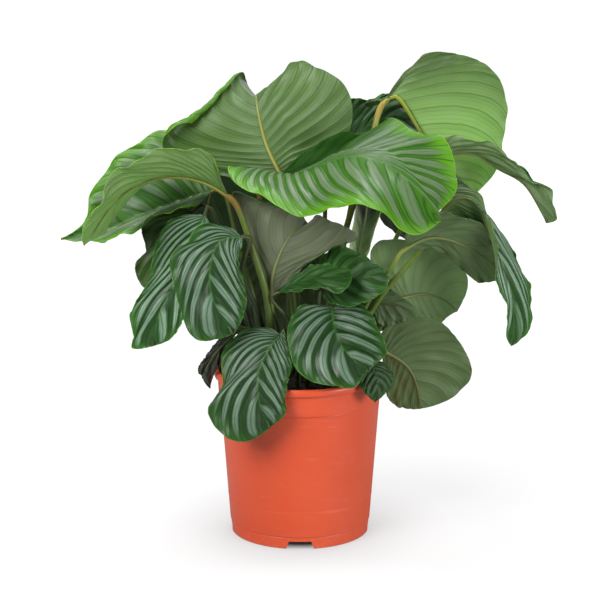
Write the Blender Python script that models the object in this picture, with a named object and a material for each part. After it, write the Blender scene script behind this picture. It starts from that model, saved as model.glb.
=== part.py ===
"""Potted calathea: a plastic nursery pot, its soil, and one object for each leaf on its stalk.

Metres, +Z up. The origin is on the pot's axis, on the surface that the pot stands on.
The plant faces -Y. Leaf and pot dimensions are written in millimetres and scaled by MM.
"""
import math
from collections import namedtuple

import bmesh
import bpy
import numpy as np

MM = 0.001
GAP = 0.3

# Pot, in millimetres
POT_HEIGHT = 212.8
RIM_RADIUS = 108.8
RIM_DEPTH = 9.0
WALL = 1.8
SHOULDER_RADIUS = 101.4
SHOULDER_HEIGHT = 176.5
BAND_RADIUS = 103.2
BAND_TOP_RADIUS = 104.6
FOOT_RADIUS = 88.0
FOOT_HEIGHT = 15.0
FOOT_STEP = 1.2
FOOT_WALL = 2.2
BEAD_HEIGHT = 48.0
BEAD_PROUD = 0.4
FLOOR_RADIUS = 61.0
FLOOR_THICKNESS = 2.0
CHANNEL_HEIGHT = 10.5
NOTCHES = 4
NOTCH_WIDTH = 36.0
NOTCH_TOP_WIDTH = 28.5
NOTCH_HEIGHT = 9.8
DRAIN_RADIUS = 6.0
POT_STEPS = 48

# Soil, in millimetres
SOIL_HEIGHT = 190.0
SOIL_CROWN = 4.0
STALK_DEPTH = 25.0

# Leaf, in millimetres
BLADE_THICKNESS = 1.0
LARGE_LEAF = 130.0
LARGE_ROWS = 9
SMALL_ROWS = 7
LARGE_STATIONS = (0.0, 0.333, 0.667, 1.0)
SMALL_STATIONS = (0.0, 0.5, 1.0)
BLADE_END = 0.02
STALK_SIDES = 6
STALK_STEP = 28.0
VEIN_SWEEP = 1.7

POT_COLOUR = (0.73, 0.10, 0.042)
SOIL_COLOUR = (0.013, 0.009, 0.007)
BRIGHT_LEAF = (0.14, 0.35, 0.07)
DARK_LEAF = (0.05, 0.16, 0.07)
YOUNG_LEAF = (0.26, 0.35, 0.16)

Curl = namedtuple("Curl", "side degrees start")
Leaf = namedtuple(
    "Leaf", "name rib left right foot stalk girth camber wave curl colour",
    defaults=((4.0, 2.6), (0.06, 0.06), (2.5, 5), None, DARK_LEAF))

# Each leaf has a midrib, from the blade's base to its tip, and the two margins between those ends,
# left and right as seen on the upper side with the tip ahead. foot is where the stalk leaves the
# soil, stalk the points that it passes, girth its radius at foot and blade. camber is how far each
# half bulges upward for its width, and wave the margin's ripple and how often it repeats.
LEAVES = [
    Leaf("leaf_crown",
         rib=[(-24, 0, 461), (-43, 18, 498), (-54, 55, 538), (-56, 85, 545), (-61, 165, 531)],
         left=[(0, 5, 453), (31, 8, 472), (60, 34, 505), (66, 40, 535), (58, 52, 563),
               (34, 72, 578), (-1, 96, 591), (-19, 124, 568), (-39, 148, 549)],
         right=[(-48, 8, 445), (-75, 14, 454), (-103, 20, 470), (-144, 22, 476), (-171, 20, 489),
                (-179, 20, 504), (-166, 24, 520), (-126, 50, 542), (-99, 76, 562), (-83, 98, 576),
                (-72, 132, 558)],
         foot=(-12, 18), stalk=[(-15, 30, 358), (-19, 22, 418)], girth=(4.0, 2.6),
         camber=(0.04, 0.04), curl=Curl("right", (0, 0, 0, 0, 140, 140, 60, 0, 0), 0.82), colour=BRIGHT_LEAF),
    Leaf("leaf_left_shoulder",
         rib=[(-111, 30, 434), (-145, 30, 422), (-189, 28, 407), (-227, 24, 393), (-265, 18, 382),
              (-301, 12, 377)],
         left=[(-125, 10, 424), (-144, -12, 421), (-170, -16, 416), (-188, -18, 407),
               (-205, -18, 395), (-234, -6, 382), (-266, 4, 374)],
         right=[(-101, 55, 463), (-127, 68, 490), (-180, 72, 504), (-207, 66, 488),
                (-232, 60, 474), (-247, 52, 454), (-266, 40, 426), (-268, 28, 405),
                (-283, 18, 386)],
         foot=(-44, -12), stalk=[(-58, -6, 302), (-81, 10, 382)], girth=(4.0, 2.6), colour=BRIGHT_LEAF),
    Leaf("leaf_front_crown",
         rib=[(-24, -15, 457), (0, -20, 465), (55, -50, 493), (120, -98, 482), (170, -128, 431)],
         left=[(-13, -8, 475), (22, 0, 501), (62, 4, 514), (82, 6, 511), (111, 16, 527),
               (144, -8, 518), (175, -30, 513), (191, -52, 480), (186, -78, 448), (168, -108, 438)],
         right=[(-47, -13, 452), (-75, -12, 461), (-89, -18, 473), (-81, -45, 461),
                (-59, -58, 452), (-29, -83, 439), (14, -110, 432), (64, -147, 456),
                (106, -160, 437), (136, -156, 419)],
         foot=(2, -10), stalk=[(-15, 4, 351), (-19, 10, 395), (-21, 0, 429)], girth=(4.0, 2.6),
         camber=(0.04, 0.08), colour=BRIGHT_LEAF),
    Leaf("leaf_left_arch",
         rib=[(-89, -47, 445), (-107, -53, 458), (-137, -62, 470), (-182, -76, 470),
              (-222, -88, 448), (-245, -96, 418), (-262, -100, 394)],
         left=[(-98, -62, 469), (-102, -72, 490), (-116, -82, 506), (-137, -88, 511),
               (-169, -100, 511), (-204, -112, 497), (-230, -118, 478), (-242, -120, 448),
               (-262, -116, 415)],
         right=[(-111, -30, 455), (-143, -4, 463), (-181, 5, 461), (-214, -5, 445),
                (-226, -35, 419), (-246, -75, 400)],
         foot=(-33, -36), stalk=[(-40, -50, 307), (-48, -52, 345), (-67, -45, 403)], girth=(5.5, 3.8),
         camber=(-0.12, 0.05), colour=BRIGHT_LEAF),
    Leaf("leaf_right_arch",
         rib=[(108, 74, 539), (120, 70, 549), (138, 66, 529), (178, 70, 467), (226, 78, 422)],
         left=[(95, 86, 540), (82, 102, 531), (109, 122, 530), (135, 138, 538), (175, 148, 544),
               (214, 148, 518), (234, 112, 465)],
         right=[(110, 76, 545), (121, 80, 562), (152, 84, 596), (183, 88, 602), (233, 92, 587),
                (261, 90, 549), (260, 84, 492), (250, 78, 451)],
         foot=(26, 10), stalk=[(57, 22, 383), (84, 58, 462)], girth=(4.4, 3.6), colour=BRIGHT_LEAF),
    Leaf("leaf_far_right",
         rib=[(176, 35, 476), (219, 38, 480), (248, 34, 463), (277, 26, 448), (295, 18, 425),
              (310, 12, 397)],
         left=[(189, 50, 487), (227, 52, 489), (259, 48, 477), (290, 38, 452), (307, 24, 420)],
         right=[(181, 30, 502), (205, 26, 503), (236, 24, 497), (265, 18, 478), (291, 10, 451),
                (312, 6, 442), (317, 4, 422), (322, 4, 404)],
         foot=(40, 18), stalk=[(84, 26, 299), (126, 30, 383), (151, 32, 438)], girth=(3.6, 2.4)),
    Leaf("leaf_right_drooping",
         rib=[(175, -5, 412), (193, -12, 432), (217, -20, 432), (231, -24, 405), (241, -26, 379),
              (255, -24, 345), (268, -18, 292), (267, -10, 243)],
         left=[(187, -2, 407), (212, -4, 402), (227, -8, 387), (237, -10, 376), (251, -8, 372),
               (272, 0, 352), (287, 4, 322), (293, 4, 293), (286, 0, 256)],
         right=[(182, -2, 435), (194, 4, 456), (211, -6, 446), (225, -14, 436), (233, -24, 416),
                (243, -40, 392), (243, -38, 358), (249, -36, 322), (260, -30, 285),
                (260, -18, 256)],
         foot=(46, -14), stalk=[(89, -6, 286), (118, 0, 326), (152, 6, 365)], girth=(4.6, 3.0)),
    Leaf("leaf_right_middle",
         rib=[(134, -32, 376), (154, -30, 386), (180, -24, 385), (219, -10, 365), (256, 6, 335)],
         left=[(143, -22, 371), (155, -16, 371), (171, -8, 367), (187, -2, 357), (202, 2, 341),
               (225, 5, 323), (247, 6, 324)],
         right=[(131, -36, 394), (154, -38, 413), (175, -36, 421), (196, -32, 415),
                (226, -26, 403), (242, -12, 370)],
         foot=(56, -26), stalk=[(85, -27, 305), (118, -33, 357)], girth=(3.8, 2.6)),
    Leaf("leaf_right_shaded",
         rib=[(129, 24, 296), (153, 36, 299), (182, 48, 290), (202, 54, 272)],
         left=[(134, 26, 274), (153, 32, 260), (179, 44, 259), (195, 52, 269)],
         right=[(108, 22, 315), (90, 20, 342), (92, 18, 367), (112, 22, 374), (135, 30, 371),
                (165, 38, 363), (190, 44, 347), (208, 48, 331), (215, 52, 311), (210, 54, 288)],
         foot=(56, 12), stalk=[(97, 20, 250)], girth=(3.6, 2.4)),
    Leaf("leaf_right_curled",
         rib=[(93, 8, 295), (111, 6, 294), (129, 6, 291), (147, 8, 280)],
         left=[(96, 10, 274), (109, 10, 263), (127, 9, 269), (142, 8, 274)],
         right=[(101, 9, 306), (115, 10, 310), (129, 9, 302), (141, 8, 293)],
         foot=(36, -4), stalk=[(68, 2, 248)], girth=(3.0, 2.2)),
    Leaf("leaf_lower_right",
         rib=[(108, 24, 227), (128, 32, 213), (145, 38, 192), (156, 46, 144)],
         left=[(106, 33, 212), (109, 41, 184), (114, 46, 158), (132, 48, 144)],
         right=[(103, 19, 250), (115, 14, 266), (146, 14, 273), (178, 22, 266), (200, 38, 242),
                (217, 46, 212), (221, 52, 184), (203, 54, 161), (176, 52, 147)],
         foot=(64, -4), stalk=[(91, 6, 218)], girth=(3.4, 2.4)),
    Leaf("leaf_front_round",
         rib=[(40, -54, 305), (41, -72, 293), (48, -94, 272), (63, -106, 254), (84, -112, 240)],
         left=[(62, -56, 309), (83, -64, 306), (93, -78, 292), (103, -90, 271), (106, -100, 257),
               (94, -108, 248)],
         right=[(18, -54, 309), (1, -58, 307), (-14, -76, 289), (-15, -90, 270), (-4, -112, 240),
                (17, -122, 228), (43, -126, 223), (68, -124, 222), (76, -116, 232)],
         foot=(26, -46), stalk=[(27, -46, 254)], girth=(3.2, 2.4)),
    Leaf("leaf_front_small",
         rib=[(88, -72, 237), (95, -80, 221), (96, -84, 207), (93, -84, 191)],
         left=[(99, -66, 239), (114, -66, 225), (115, -70, 209), (104, -78, 199)],
         right=[(79, -74, 232), (73, -84, 218), (80, -92, 205)],
         foot=(44, -54), stalk=[(64, -60, 249)], girth=(2.6, 2.0)),
    Leaf("leaf_centre_front",
         rib=[(-26, -57, 325), (0, -60, 338), (31, -68, 347), (64, -74, 351)],
         left=[(-16, -48, 335), (0, -46, 348), (22, -46, 358), (43, -52, 357), (60, -62, 355)],
         right=[(-11, -74, 329), (10, -88, 336), (30, -96, 339), (49, -98, 334), (61, -88, 343)],
         foot=(-2, -48), stalk=[(-10, -52, 281)], girth=(3.0, 2.2)),
    Leaf("leaf_centre_behind",
         rib=[(31, -32, 324), (62, -48, 338), (86, -54, 344), (108, -56, 345)],
         left=[(27, -12, 351), (39, -2, 368), (68, -4, 366), (90, -22, 356), (102, -40, 350)],
         right=[(31, -60, 317), (55, -76, 311), (84, -72, 317), (106, -66, 331)],
         foot=(10, -36), stalk=[(22, -36, 271)], girth=(3.0, 2.2)),
    Leaf("leaf_front_left",
         rib=[(-72, -66, 396), (-95, -76, 395), (-107, -84, 377), (-110, -92, 342),
              (-101, -96, 314), (-81, -94, 281)],
         left=[(-70, -68, 389), (-75, -76, 375), (-72, -86, 353), (-65, -92, 323), (-72, -94, 297)],
         right=[(-83, -64, 407), (-104, -64, 411), (-127, -66, 409), (-141, -74, 389),
                (-158, -82, 375), (-153, -90, 338), (-142, -96, 298), (-125, -100, 275),
                (-99, -98, 276)],
         foot=(-47, -32), stalk=[(-48, -38, 278), (-65, -48, 325), (-70, -58, 363)], girth=(4.4, 2.8)),
    Leaf("leaf_left_hanging",
         rib=[(-118, -20, 414), (-134, -32, 375), (-155, -42, 334), (-174, -48, 297),
              (-182, -50, 254)],
         left=[(-109, -28, 391), (-118, -44, 350), (-130, -54, 314), (-146, -58, 288),
               (-159, -56, 266)],
         right=[(-143, -14, 413), (-167, -14, 401), (-180, -24, 373), (-185, -30, 352),
                (-194, -38, 323), (-212, -44, 292), (-207, -46, 267), (-210, -46, 250)],
         foot=(-62, -8), stalk=[(-76, -8, 289), (-92, -14, 368)], girth=(3.6, 2.4)),
    Leaf("leaf_left_wavy",
         rib=[(-131, 20, 410), (-153, 14, 390), (-173, 10, 360), (-186, 8, 317)],
         left=[(-157, 22, 414), (-186, 20, 404), (-200, 18, 387), (-194, 14, 362), (-206, 12, 347),
               (-206, 10, 328), (-196, 9, 314)],
         right=[(-132, 10, 382), (-145, 6, 348), (-164, 6, 320)],
         foot=(-46, 14), stalk=[(-76, 16, 310)], girth=(3.2, 2.2)),
    Leaf("leaf_lower_left",
         rib=[(-24, -70, 273), (-39, -92, 260), (-50, -112, 238), (-51, -122, 211),
              (-47, -125, 193), (-36, -124, 171)],
         left=[(-20, -66, 281), (-17, -78, 269), (-11, -98, 247), (-15, -110, 222),
               (-18, -118, 204), (-17, -122, 191), (-25, -124, 180)],
         right=[(-38, -64, 281), (-64, -64, 278), (-92, -74, 262), (-96, -90, 229),
                (-101, -104, 205), (-113, -112, 185), (-93, -122, 160), (-67, -128, 153),
                (-47, -127, 163)],
         foot=(-16, -56), stalk=[(-20, -60, 251)], girth=(3.2, 2.4)),
    Leaf("leaf_lower_narrow",
         rib=[(-80, -50, 271), (-99, -45, 251), (-114, -39, 228), (-121, -34, 207),
              (-113, -34, 194)],
         left=[(-101, -46, 261), (-118, -40, 237), (-128, -36, 220), (-123, -34, 209)],
         right=[(-87, -32, 250), (-98, -36, 231), (-109, -36, 210)],
         foot=(-36, -60), stalk=[(-52, -58, 257)], girth=(2.6, 2.0)),
    Leaf("leaf_centre_grey",
         rib=[(-36, -38, 315), (-34, -38, 341), (-21, -32, 376), (-3, -18, 397), (14, 4, 392)],
         left=[(-28, -34, 327), (-10, -32, 334), (9, -28, 355), (30, -24, 367), (53, -18, 378),
               (72, -12, 384), (62, -4, 393), (37, 2, 403), (22, 4, 409)],
         right=[(-47, -38, 332), (-60, -34, 373), (-73, -26, 409), (-88, -20, 453),
                (-67, -22, 451), (-37, -22, 439), (-3, -10, 416)],
         foot=(-20, -24), stalk=[(-28, -32, 276)], girth=(3.8, 2.5),
         curl=Curl("right", (0, 0, 0, 60, 150, 150, 60), 0.75)),
    Leaf("young_leaf_rolled",
         rib=[(73, 24, 344), (77, 22, 373), (82, 20, 402), (86, 18, 441)],
         left=[(84, 14, 354), (90, 12, 375), (100, 10, 408), (105, 10, 433)],
         right=[(63, 14, 354), (65, 12, 382), (69, 10, 408), (75, 10, 433)],
         foot=(14, -6), stalk=[(63, 6, 273)], girth=(3.6, 3.0),
         camber=(0.50, 0.50), wave=(0.0, 3), colour=YOUNG_LEAF),
    Leaf("leaf_behind_crown",
         rib=[(44, 74, 476), (79, 100, 500), (116, 132, 510), (154, 164, 494)],
         left=[(48, 90, 508), (63, 110, 538), (82, 130, 532), (113, 158, 530), (141, 170, 518)],
         right=[(79, 86, 476), (118, 104, 478), (149, 136, 478)],
         foot=(14, 32), stalk=[(32, 52, 405)], girth=(3.6, 2.6), colour=BRIGHT_LEAF),
    Leaf("leaf_back_left",
         rib=[(-58, 95, 425), (-88, 130, 450), (-118, 175, 405), (-130, 205, 300)],
         left=[(-84, 90, 440), (-136, 108, 438), (-175, 140, 368), (-170, 180, 292)],
         right=[(-44, 115, 432), (-36, 158, 432), (-46, 208, 372), (-78, 225, 296)],
         foot=(-30, 30), stalk=[(-48, 60, 330)], girth=(4.0, 2.6)),
    Leaf("leaf_back_middle",
         rib=[(0, 105, 470), (5, 150, 492), (10, 215, 465), (8, 270, 380)],
         left=[(-30, 110, 462), (-75, 150, 460), (-85, 215, 425), (-50, 265, 370)],
         right=[(30, 108, 462), (80, 150, 460), (92, 215, 425), (60, 265, 370)],
         foot=(-2, 46), stalk=[(-4, 75, 350)], girth=(4.0, 2.6)),
    Leaf("leaf_back_right",
         rib=[(75, 105, 420), (105, 140, 440), (140, 185, 410), (165, 225, 325)],
         left=[(55, 120, 425), (55, 170, 430), (90, 230, 390), (130, 245, 330)],
         right=[(105, 95, 405), (155, 100, 400), (200, 140, 360), (205, 185, 305)],
         foot=(30, 34), stalk=[(52, 75, 320)], girth=(4.0, 2.6)),
    Leaf("leaf_back_low",
         rib=[(-14, 118, 335), (-16, 150, 334), (-18, 174, 284), (-18, 182, 202)],
         left=[(-44, 118, 330), (-84, 144, 318), (-104, 172, 262), (-82, 186, 206)],
         right=[(16, 120, 328), (50, 145, 318), (64, 175, 260), (42, 188, 206)],
         foot=(-6, 58), stalk=[(-10, 84, 270)], girth=(3.2, 2.4)),
    Leaf("leaf_back_low_right",
         rib=[(85, 90, 300), (108, 110, 308), (135, 140, 280), (145, 155, 220)],
         left=[(62, 100, 292), (56, 135, 282), (76, 168, 248), (112, 178, 212)],
         right=[(108, 78, 290), (145, 90, 280), (165, 120, 245), (160, 145, 215)],
         foot=(40, 50), stalk=[(60, 68, 250)], girth=(3.2, 2.4)),]


def clear_scene():
    for old in list(bpy.data.objects):
        bpy.data.objects.remove(old, do_unlink=True)


def material(name, colour, roughness, metallic=0.0):
    surface = bpy.data.materials.new(name)
    surface.use_nodes = True
    shader = surface.node_tree.nodes["Principled BSDF"]
    shader.inputs["Base Color"].default_value = (*colour, 1.0)
    shader.inputs["Roughness"].default_value = roughness
    shader.inputs["Metallic"].default_value = metallic
    return surface


def link_mesh(name, points, faces, surface=None):
    """One object from points in millimetres."""
    mesh = bpy.data.meshes.new(name)
    mesh.from_pydata([tuple(point * MM) for point in np.asarray(points, float)], [], faces)
    piece = bpy.data.objects.new(name, mesh)
    bpy.context.collection.objects.link(piece)
    face_out(piece)
    if surface is not None:
        mesh.materials.append(surface)
    return piece


def face_out(piece):
    """Turn the faces of a closed mesh outward."""
    edit = bmesh.new()
    edit.from_mesh(piece.data)
    if edit.calc_volume(signed=True) < 0.0:
        bmesh.ops.reverse_faces(edit, faces=edit.faces)
    edit.to_mesh(piece.data)
    edit.free()


def shade_round(piece):
    piece.data.shade_smooth()
    piece.data.set_sharp_from_angle(angle=math.radians(40))


def combine(target, tool, operation, solver="EXACT"):
    """Join the tool to the target or cut it away, then remove it."""
    step = target.modifiers.new(operation.lower(), "BOOLEAN")
    step.operation = operation
    step.solver = solver
    step.object = tool
    bpy.context.view_layer.objects.active = target
    bpy.ops.object.modifier_apply(modifier=step.name)
    bpy.data.objects.remove(tool, do_unlink=True)


def turned(name, profile, steps, surface):
    """A closed turned solid from a profile of (radius, height) that starts and ends on the axis."""
    points = []
    rings = []
    for radius, height in profile:
        if radius == 0.0:
            rings.append([len(points)])
            points.append((0.0, 0.0, height))
            continue
        rings.append(list(range(len(points), len(points) + steps)))
        for step in range(steps):
            angle = math.tau * step / steps
            points.append((radius * math.cos(angle), radius * math.sin(angle), height))
    faces = []
    for lower, upper in zip(rings, rings[1:]):
        for step in range(steps):
            after = (step + 1) % steps
            if len(lower) == 1:
                faces.append((lower[0], upper[after], upper[step]))
            elif len(upper) == 1:
                faces.append((lower[step], lower[after], upper[0]))
            else:
                faces.append((lower[step], lower[after], upper[after], upper[step]))
    piece = link_mesh(name, points, faces, surface)
    shade_round(piece)
    return piece


def prism(name, outline, length):
    """A bar along +X with an outline of (y, z)."""
    count = len(outline)
    points = [(x, y, z) for x in (0.0, length) for y, z in outline]
    faces = [tuple(range(count)), tuple(range(2 * count - 1, count - 1, -1))]
    for step in range(count):
        after = (step + 1) % count
        faces.append((step, count + step, count + after, after))
    return link_mesh(name, points, faces)


def pot():
    """A thin wall with a rolled rim, a banded shoulder, and a foot ring round a raised drainage channel."""
    rim_low = POT_HEIGHT - RIM_DEPTH
    wall_foot = FOOT_RADIUS + FOOT_STEP
    slope = (SHOULDER_RADIUS - wall_foot) / (SHOULDER_HEIGHT - FOOT_HEIGHT)
    bead = wall_foot + slope * (BEAD_HEIGHT - FOOT_HEIGHT)
    roof = CHANNEL_HEIGHT + FLOOR_THICKNESS
    outside = [
        (0.0, 0.0), (FLOOR_RADIUS, 0.0), (FLOOR_RADIUS + 2.0, CHANNEL_HEIGHT),
        (FOOT_RADIUS - FOOT_WALL - 0.6, CHANNEL_HEIGHT), (FOOT_RADIUS - FOOT_WALL, 0.0),
        (FOOT_RADIUS, 0.0), (FOOT_RADIUS + 0.2, FOOT_HEIGHT), (wall_foot, FOOT_HEIGHT + 0.6),
        (bead - 0.1, BEAD_HEIGHT - 1.0), (bead + BEAD_PROUD, BEAD_HEIGHT - 0.4),
        (bead + BEAD_PROUD, BEAD_HEIGHT + 0.6), (bead + 0.1, BEAD_HEIGHT + 1.2),
        (SHOULDER_RADIUS, SHOULDER_HEIGHT), (BAND_RADIUS, SHOULDER_HEIGHT + 0.7),
        (BAND_TOP_RADIUS, rim_low - 0.4), (RIM_RADIUS - 0.5, rim_low), (RIM_RADIUS, rim_low + 0.8),
        (RIM_RADIUS, POT_HEIGHT - 2.2), (RIM_RADIUS - 1.2, POT_HEIGHT - 0.4),
        (RIM_RADIUS - 3.4, POT_HEIGHT), (RIM_RADIUS - 5.6, POT_HEIGHT - 1.2),
    ]
    inside = [
        (BAND_TOP_RADIUS - WALL, rim_low), (SHOULDER_RADIUS - WALL, SHOULDER_HEIGHT),
        (wall_foot - WALL, FOOT_HEIGHT + 2.0), (FOOT_RADIUS - FOOT_WALL - 1.6, roof),
        (FLOOR_RADIUS + 4.0, roof), (FLOOR_RADIUS + 2.0, FLOOR_THICKNESS), (0.0, FLOOR_THICKNESS),
    ]
    piece = turned("pot", outside + inside, POT_STEPS, material("pot_plastic", POT_COLOUR, 0.42))
    half, top_half = NOTCH_WIDTH / 2, NOTCH_TOP_WIDTH / 2
    outline = [(-half, -1.0), (half, -1.0), (top_half, NOTCH_HEIGHT), (-top_half, NOTCH_HEIGHT)]
    for number in range(NOTCHES):
        angle = math.tau * (number / NOTCHES - 0.25)
        notch = prism("notch", outline, 20.0)
        notch.location = (70.0 * MM * math.cos(angle), 70.0 * MM * math.sin(angle), 0.0)
        notch.rotation_euler.z = angle
        bpy.context.view_layer.update()
        combine(piece, notch, "DIFFERENCE")
        drain = (FLOOR_RADIUS + FOOT_RADIUS) / 2 + 1.0
        place = (drain * math.cos(angle), drain * math.sin(angle), CHANNEL_HEIGHT + 1.0)
        combine(piece, post("drain_hole", place, DRAIN_RADIUS, 8.0, 12, angle + 0.1), "DIFFERENCE")
    return piece


def post(name, centre, radius, height, sides, turn=0.0):
    """An upright round bar."""
    place = [value * MM for value in centre]
    bpy.ops.mesh.primitive_cylinder_add(
        vertices=sides, radius=radius * MM, depth=height * MM, location=place, rotation=(0.0, 0.0, turn))
    piece = bpy.context.object
    piece.name = name
    return piece


def soil(leaves):
    """The root ball: it fills the pot to just under the rim and has a plain round hole for each stalk."""
    wall_foot = FOOT_RADIUS + FOOT_STEP - WALL - GAP
    slope = (SHOULDER_RADIUS - WALL - GAP - wall_foot) / (SHOULDER_HEIGHT - FOOT_HEIGHT)
    roof = CHANNEL_HEIGHT + FLOOR_THICKNESS + GAP
    inner_top = SHOULDER_RADIUS - WALL - GAP + (SOIL_HEIGHT - SHOULDER_HEIGHT) * 0.08
    profile = [
        (0.0, FLOOR_THICKNESS + GAP), (FLOOR_RADIUS + 1.5, FLOOR_THICKNESS + GAP),
        (FLOOR_RADIUS + 3.5, roof), (FOOT_RADIUS - FOOT_WALL - 2.4, roof),
        (wall_foot + slope * 3.0, FOOT_HEIGHT + 3.0), (SHOULDER_RADIUS - WALL - GAP, SHOULDER_HEIGHT),
        (inner_top, SOIL_HEIGHT - 2.0), (80.0, SOIL_HEIGHT), (40.0, SOIL_HEIGHT + SOIL_CROWN * 0.8),
        (0.0, SOIL_HEIGHT + SOIL_CROWN),
    ]
    piece = turned("soil", profile, POT_STEPS, material("peat", SOIL_COLOUR, 0.95))
    sides = 8
    for leaf in leaves:
        radius = (leaf.girth[0] + GAP) / math.cos(math.pi / sides)
        bottom = SOIL_HEIGHT - STALK_DEPTH - GAP
        height = 60.0
        hole = post("stalk_hole", (*leaf.foot, bottom + height / 2), radius, height, sides, 0.2)
        combine(piece, hole, "DIFFERENCE")
    return piece


def polyline_length(points):
    return np.linalg.norm(np.diff(np.asarray(points, float), axis=0), axis=1).sum()


def unit(vectors):
    return vectors / np.maximum(np.linalg.norm(vectors, axis=-1, keepdims=True), 1e-9)


def smooth_curve(points, count=200):
    """A natural cubic through the points, read at even steps of its length."""
    points = np.asarray(points, float)
    knots = np.concatenate([[0.0], np.cumsum(np.sqrt(np.linalg.norm(np.diff(points, axis=0), axis=1)))])
    spans = np.diff(knots)
    last = len(points) - 1
    system = np.eye(last + 1)
    bends = np.zeros_like(points)
    for i in range(1, last):
        system[i, i - 1:i + 2] = spans[i - 1], 2 * (spans[i - 1] + spans[i]), spans[i]
        rise = (points[i + 1] - points[i]) / spans[i] - (points[i] - points[i - 1]) / spans[i - 1]
        bends[i] = 6 * rise
    bends = np.linalg.solve(system, bends)
    place = np.linspace(0.0, knots[-1], 400)
    span = np.clip(np.searchsorted(knots, place, side="right") - 1, 0, last - 1)
    gone = (place - knots[span])[:, None]
    width = spans[span][:, None]
    fine = (bends[span] * (width - gone) ** 3 + bends[span + 1] * gone ** 3) / (6 * width)
    fine += (points[span] / width - bends[span] * width / 6) * (width - gone)
    fine += (points[span + 1] / width - bends[span + 1] * width / 6) * gone
    run = np.concatenate([[0.0], np.cumsum(np.linalg.norm(np.diff(fine, axis=0), axis=1))])
    even = np.linspace(0.0, run[-1], count)
    return np.stack([np.interp(even, run, fine[:, axis]) for axis in range(3)], axis=1)


def read_curve(curve, share):
    """Points of a curve at shares of its length from 0 to 1."""
    place = np.clip(share, 0.0, 1.0) * (len(curve) - 1)
    step = np.clip(np.floor(place).astype(int), 0, len(curve) - 2)
    rest = (place - step)[..., None]
    return curve[step] * (1 - rest) + curve[step + 1] * rest


def half_blade(leaf, side, along, out):
    """Points of one half of the blade, where each vein leaves the midrib and arches over to the margin.

    along counts the veins from base to tip, and out runs along a vein from midrib to margin.
    """
    right = side == "right"
    margin = leaf.right if right else leaf.left
    rib = smooth_curve(leaf.rib)
    margin = smooth_curve([leaf.rib[0]] + list(margin) + [leaf.rib[-1]])
    heading = unit(np.gradient(rib, axis=0))
    start = read_curve(rib, along ** VEIN_SWEEP)
    end = read_curve(margin, along)
    ahead = unit(read_curve(heading, along ** VEIN_SWEEP))
    reach = end - start
    forward = (reach * ahead).sum(axis=-1, keepdims=True)
    sideways = reach - forward * ahead
    upper = unit(np.cross(sideways, ahead) if right else np.cross(ahead, sideways))
    width = np.linalg.norm(reach, axis=-1, keepdims=True)
    bulge = leaf.camber[1 if right else 0]
    arch = start + 0.5 * sideways + 0.3 * forward * ahead + bulge * width * upper
    v = out[..., None]
    blade = (1 - v) ** 2 * start + 2 * v * (1 - v) * arch + v ** 2 * end
    if leaf.curl is not None and leaf.curl.side == side:
        vein = unit(2 * (1 - v) * (arch - start) + 2 * v * (end - arch))
        over = unit(np.cross(vein, ahead) if right else np.cross(ahead, vein))
        degrees = np.interp(along, np.linspace(0, 1, len(leaf.curl.degrees)), leaf.curl.degrees)[..., None]
        strip = (1 - leaf.curl.start) * width
        run = np.clip((v - leaf.curl.start) / (1 - leaf.curl.start), 0, 1) * strip
        bend = np.radians(degrees) / np.maximum(strip, 1e-6)
        bend = np.where(np.abs(bend) < 1e-5, 1e-5, bend)
        blade = blade + vein * (np.sin(bend * run) / bend - run) - over * (1 - np.cos(bend * run)) / bend
    height = leaf.wave[0] * min(1.0, polyline_length(rib) / 140.0)
    shift = 0.37 if right else 0.0
    calm = np.clip(along * 5, 0, 1) * np.clip((1 - along) * 5, 0, 1)
    ripple = out ** 2.5 * np.sin(math.tau * (leaf.wave[1] * along + shift))
    ripple = ripple + 0.45 * out ** 4 * np.sin(math.tau * (2.3 * leaf.wave[1] * along + 0.54 * shift))
    return blade + upper * (height * calm * ripple)[..., None]


def blade_grid(leaf):
    """The blade as rows from base to tip, each from the left margin over the midrib to the right one."""
    large = polyline_length(leaf.rib) > LARGE_LEAF
    stations = LARGE_STATIONS if large else SMALL_STATIONS
    if leaf.curl is not None:
        strip = 1 - leaf.curl.start
        stations = (0.0, 0.5 * leaf.curl.start, leaf.curl.start, 1 - 0.67 * strip, 1 - 0.33 * strip, 1.0)
    steps = LARGE_ROWS if large else SMALL_ROWS
    rows = BLADE_END + np.linspace(0.0, 1.0, steps + 1) * (1 - 2 * BLADE_END)
    along, out = np.meshgrid(rows, np.array(stations), indexing="ij")
    left = half_blade(leaf, "left", along, out)
    right = half_blade(leaf, "right", along, out)
    return np.concatenate([left[:, ::-1], right[:, 1:]], axis=1)


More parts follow.
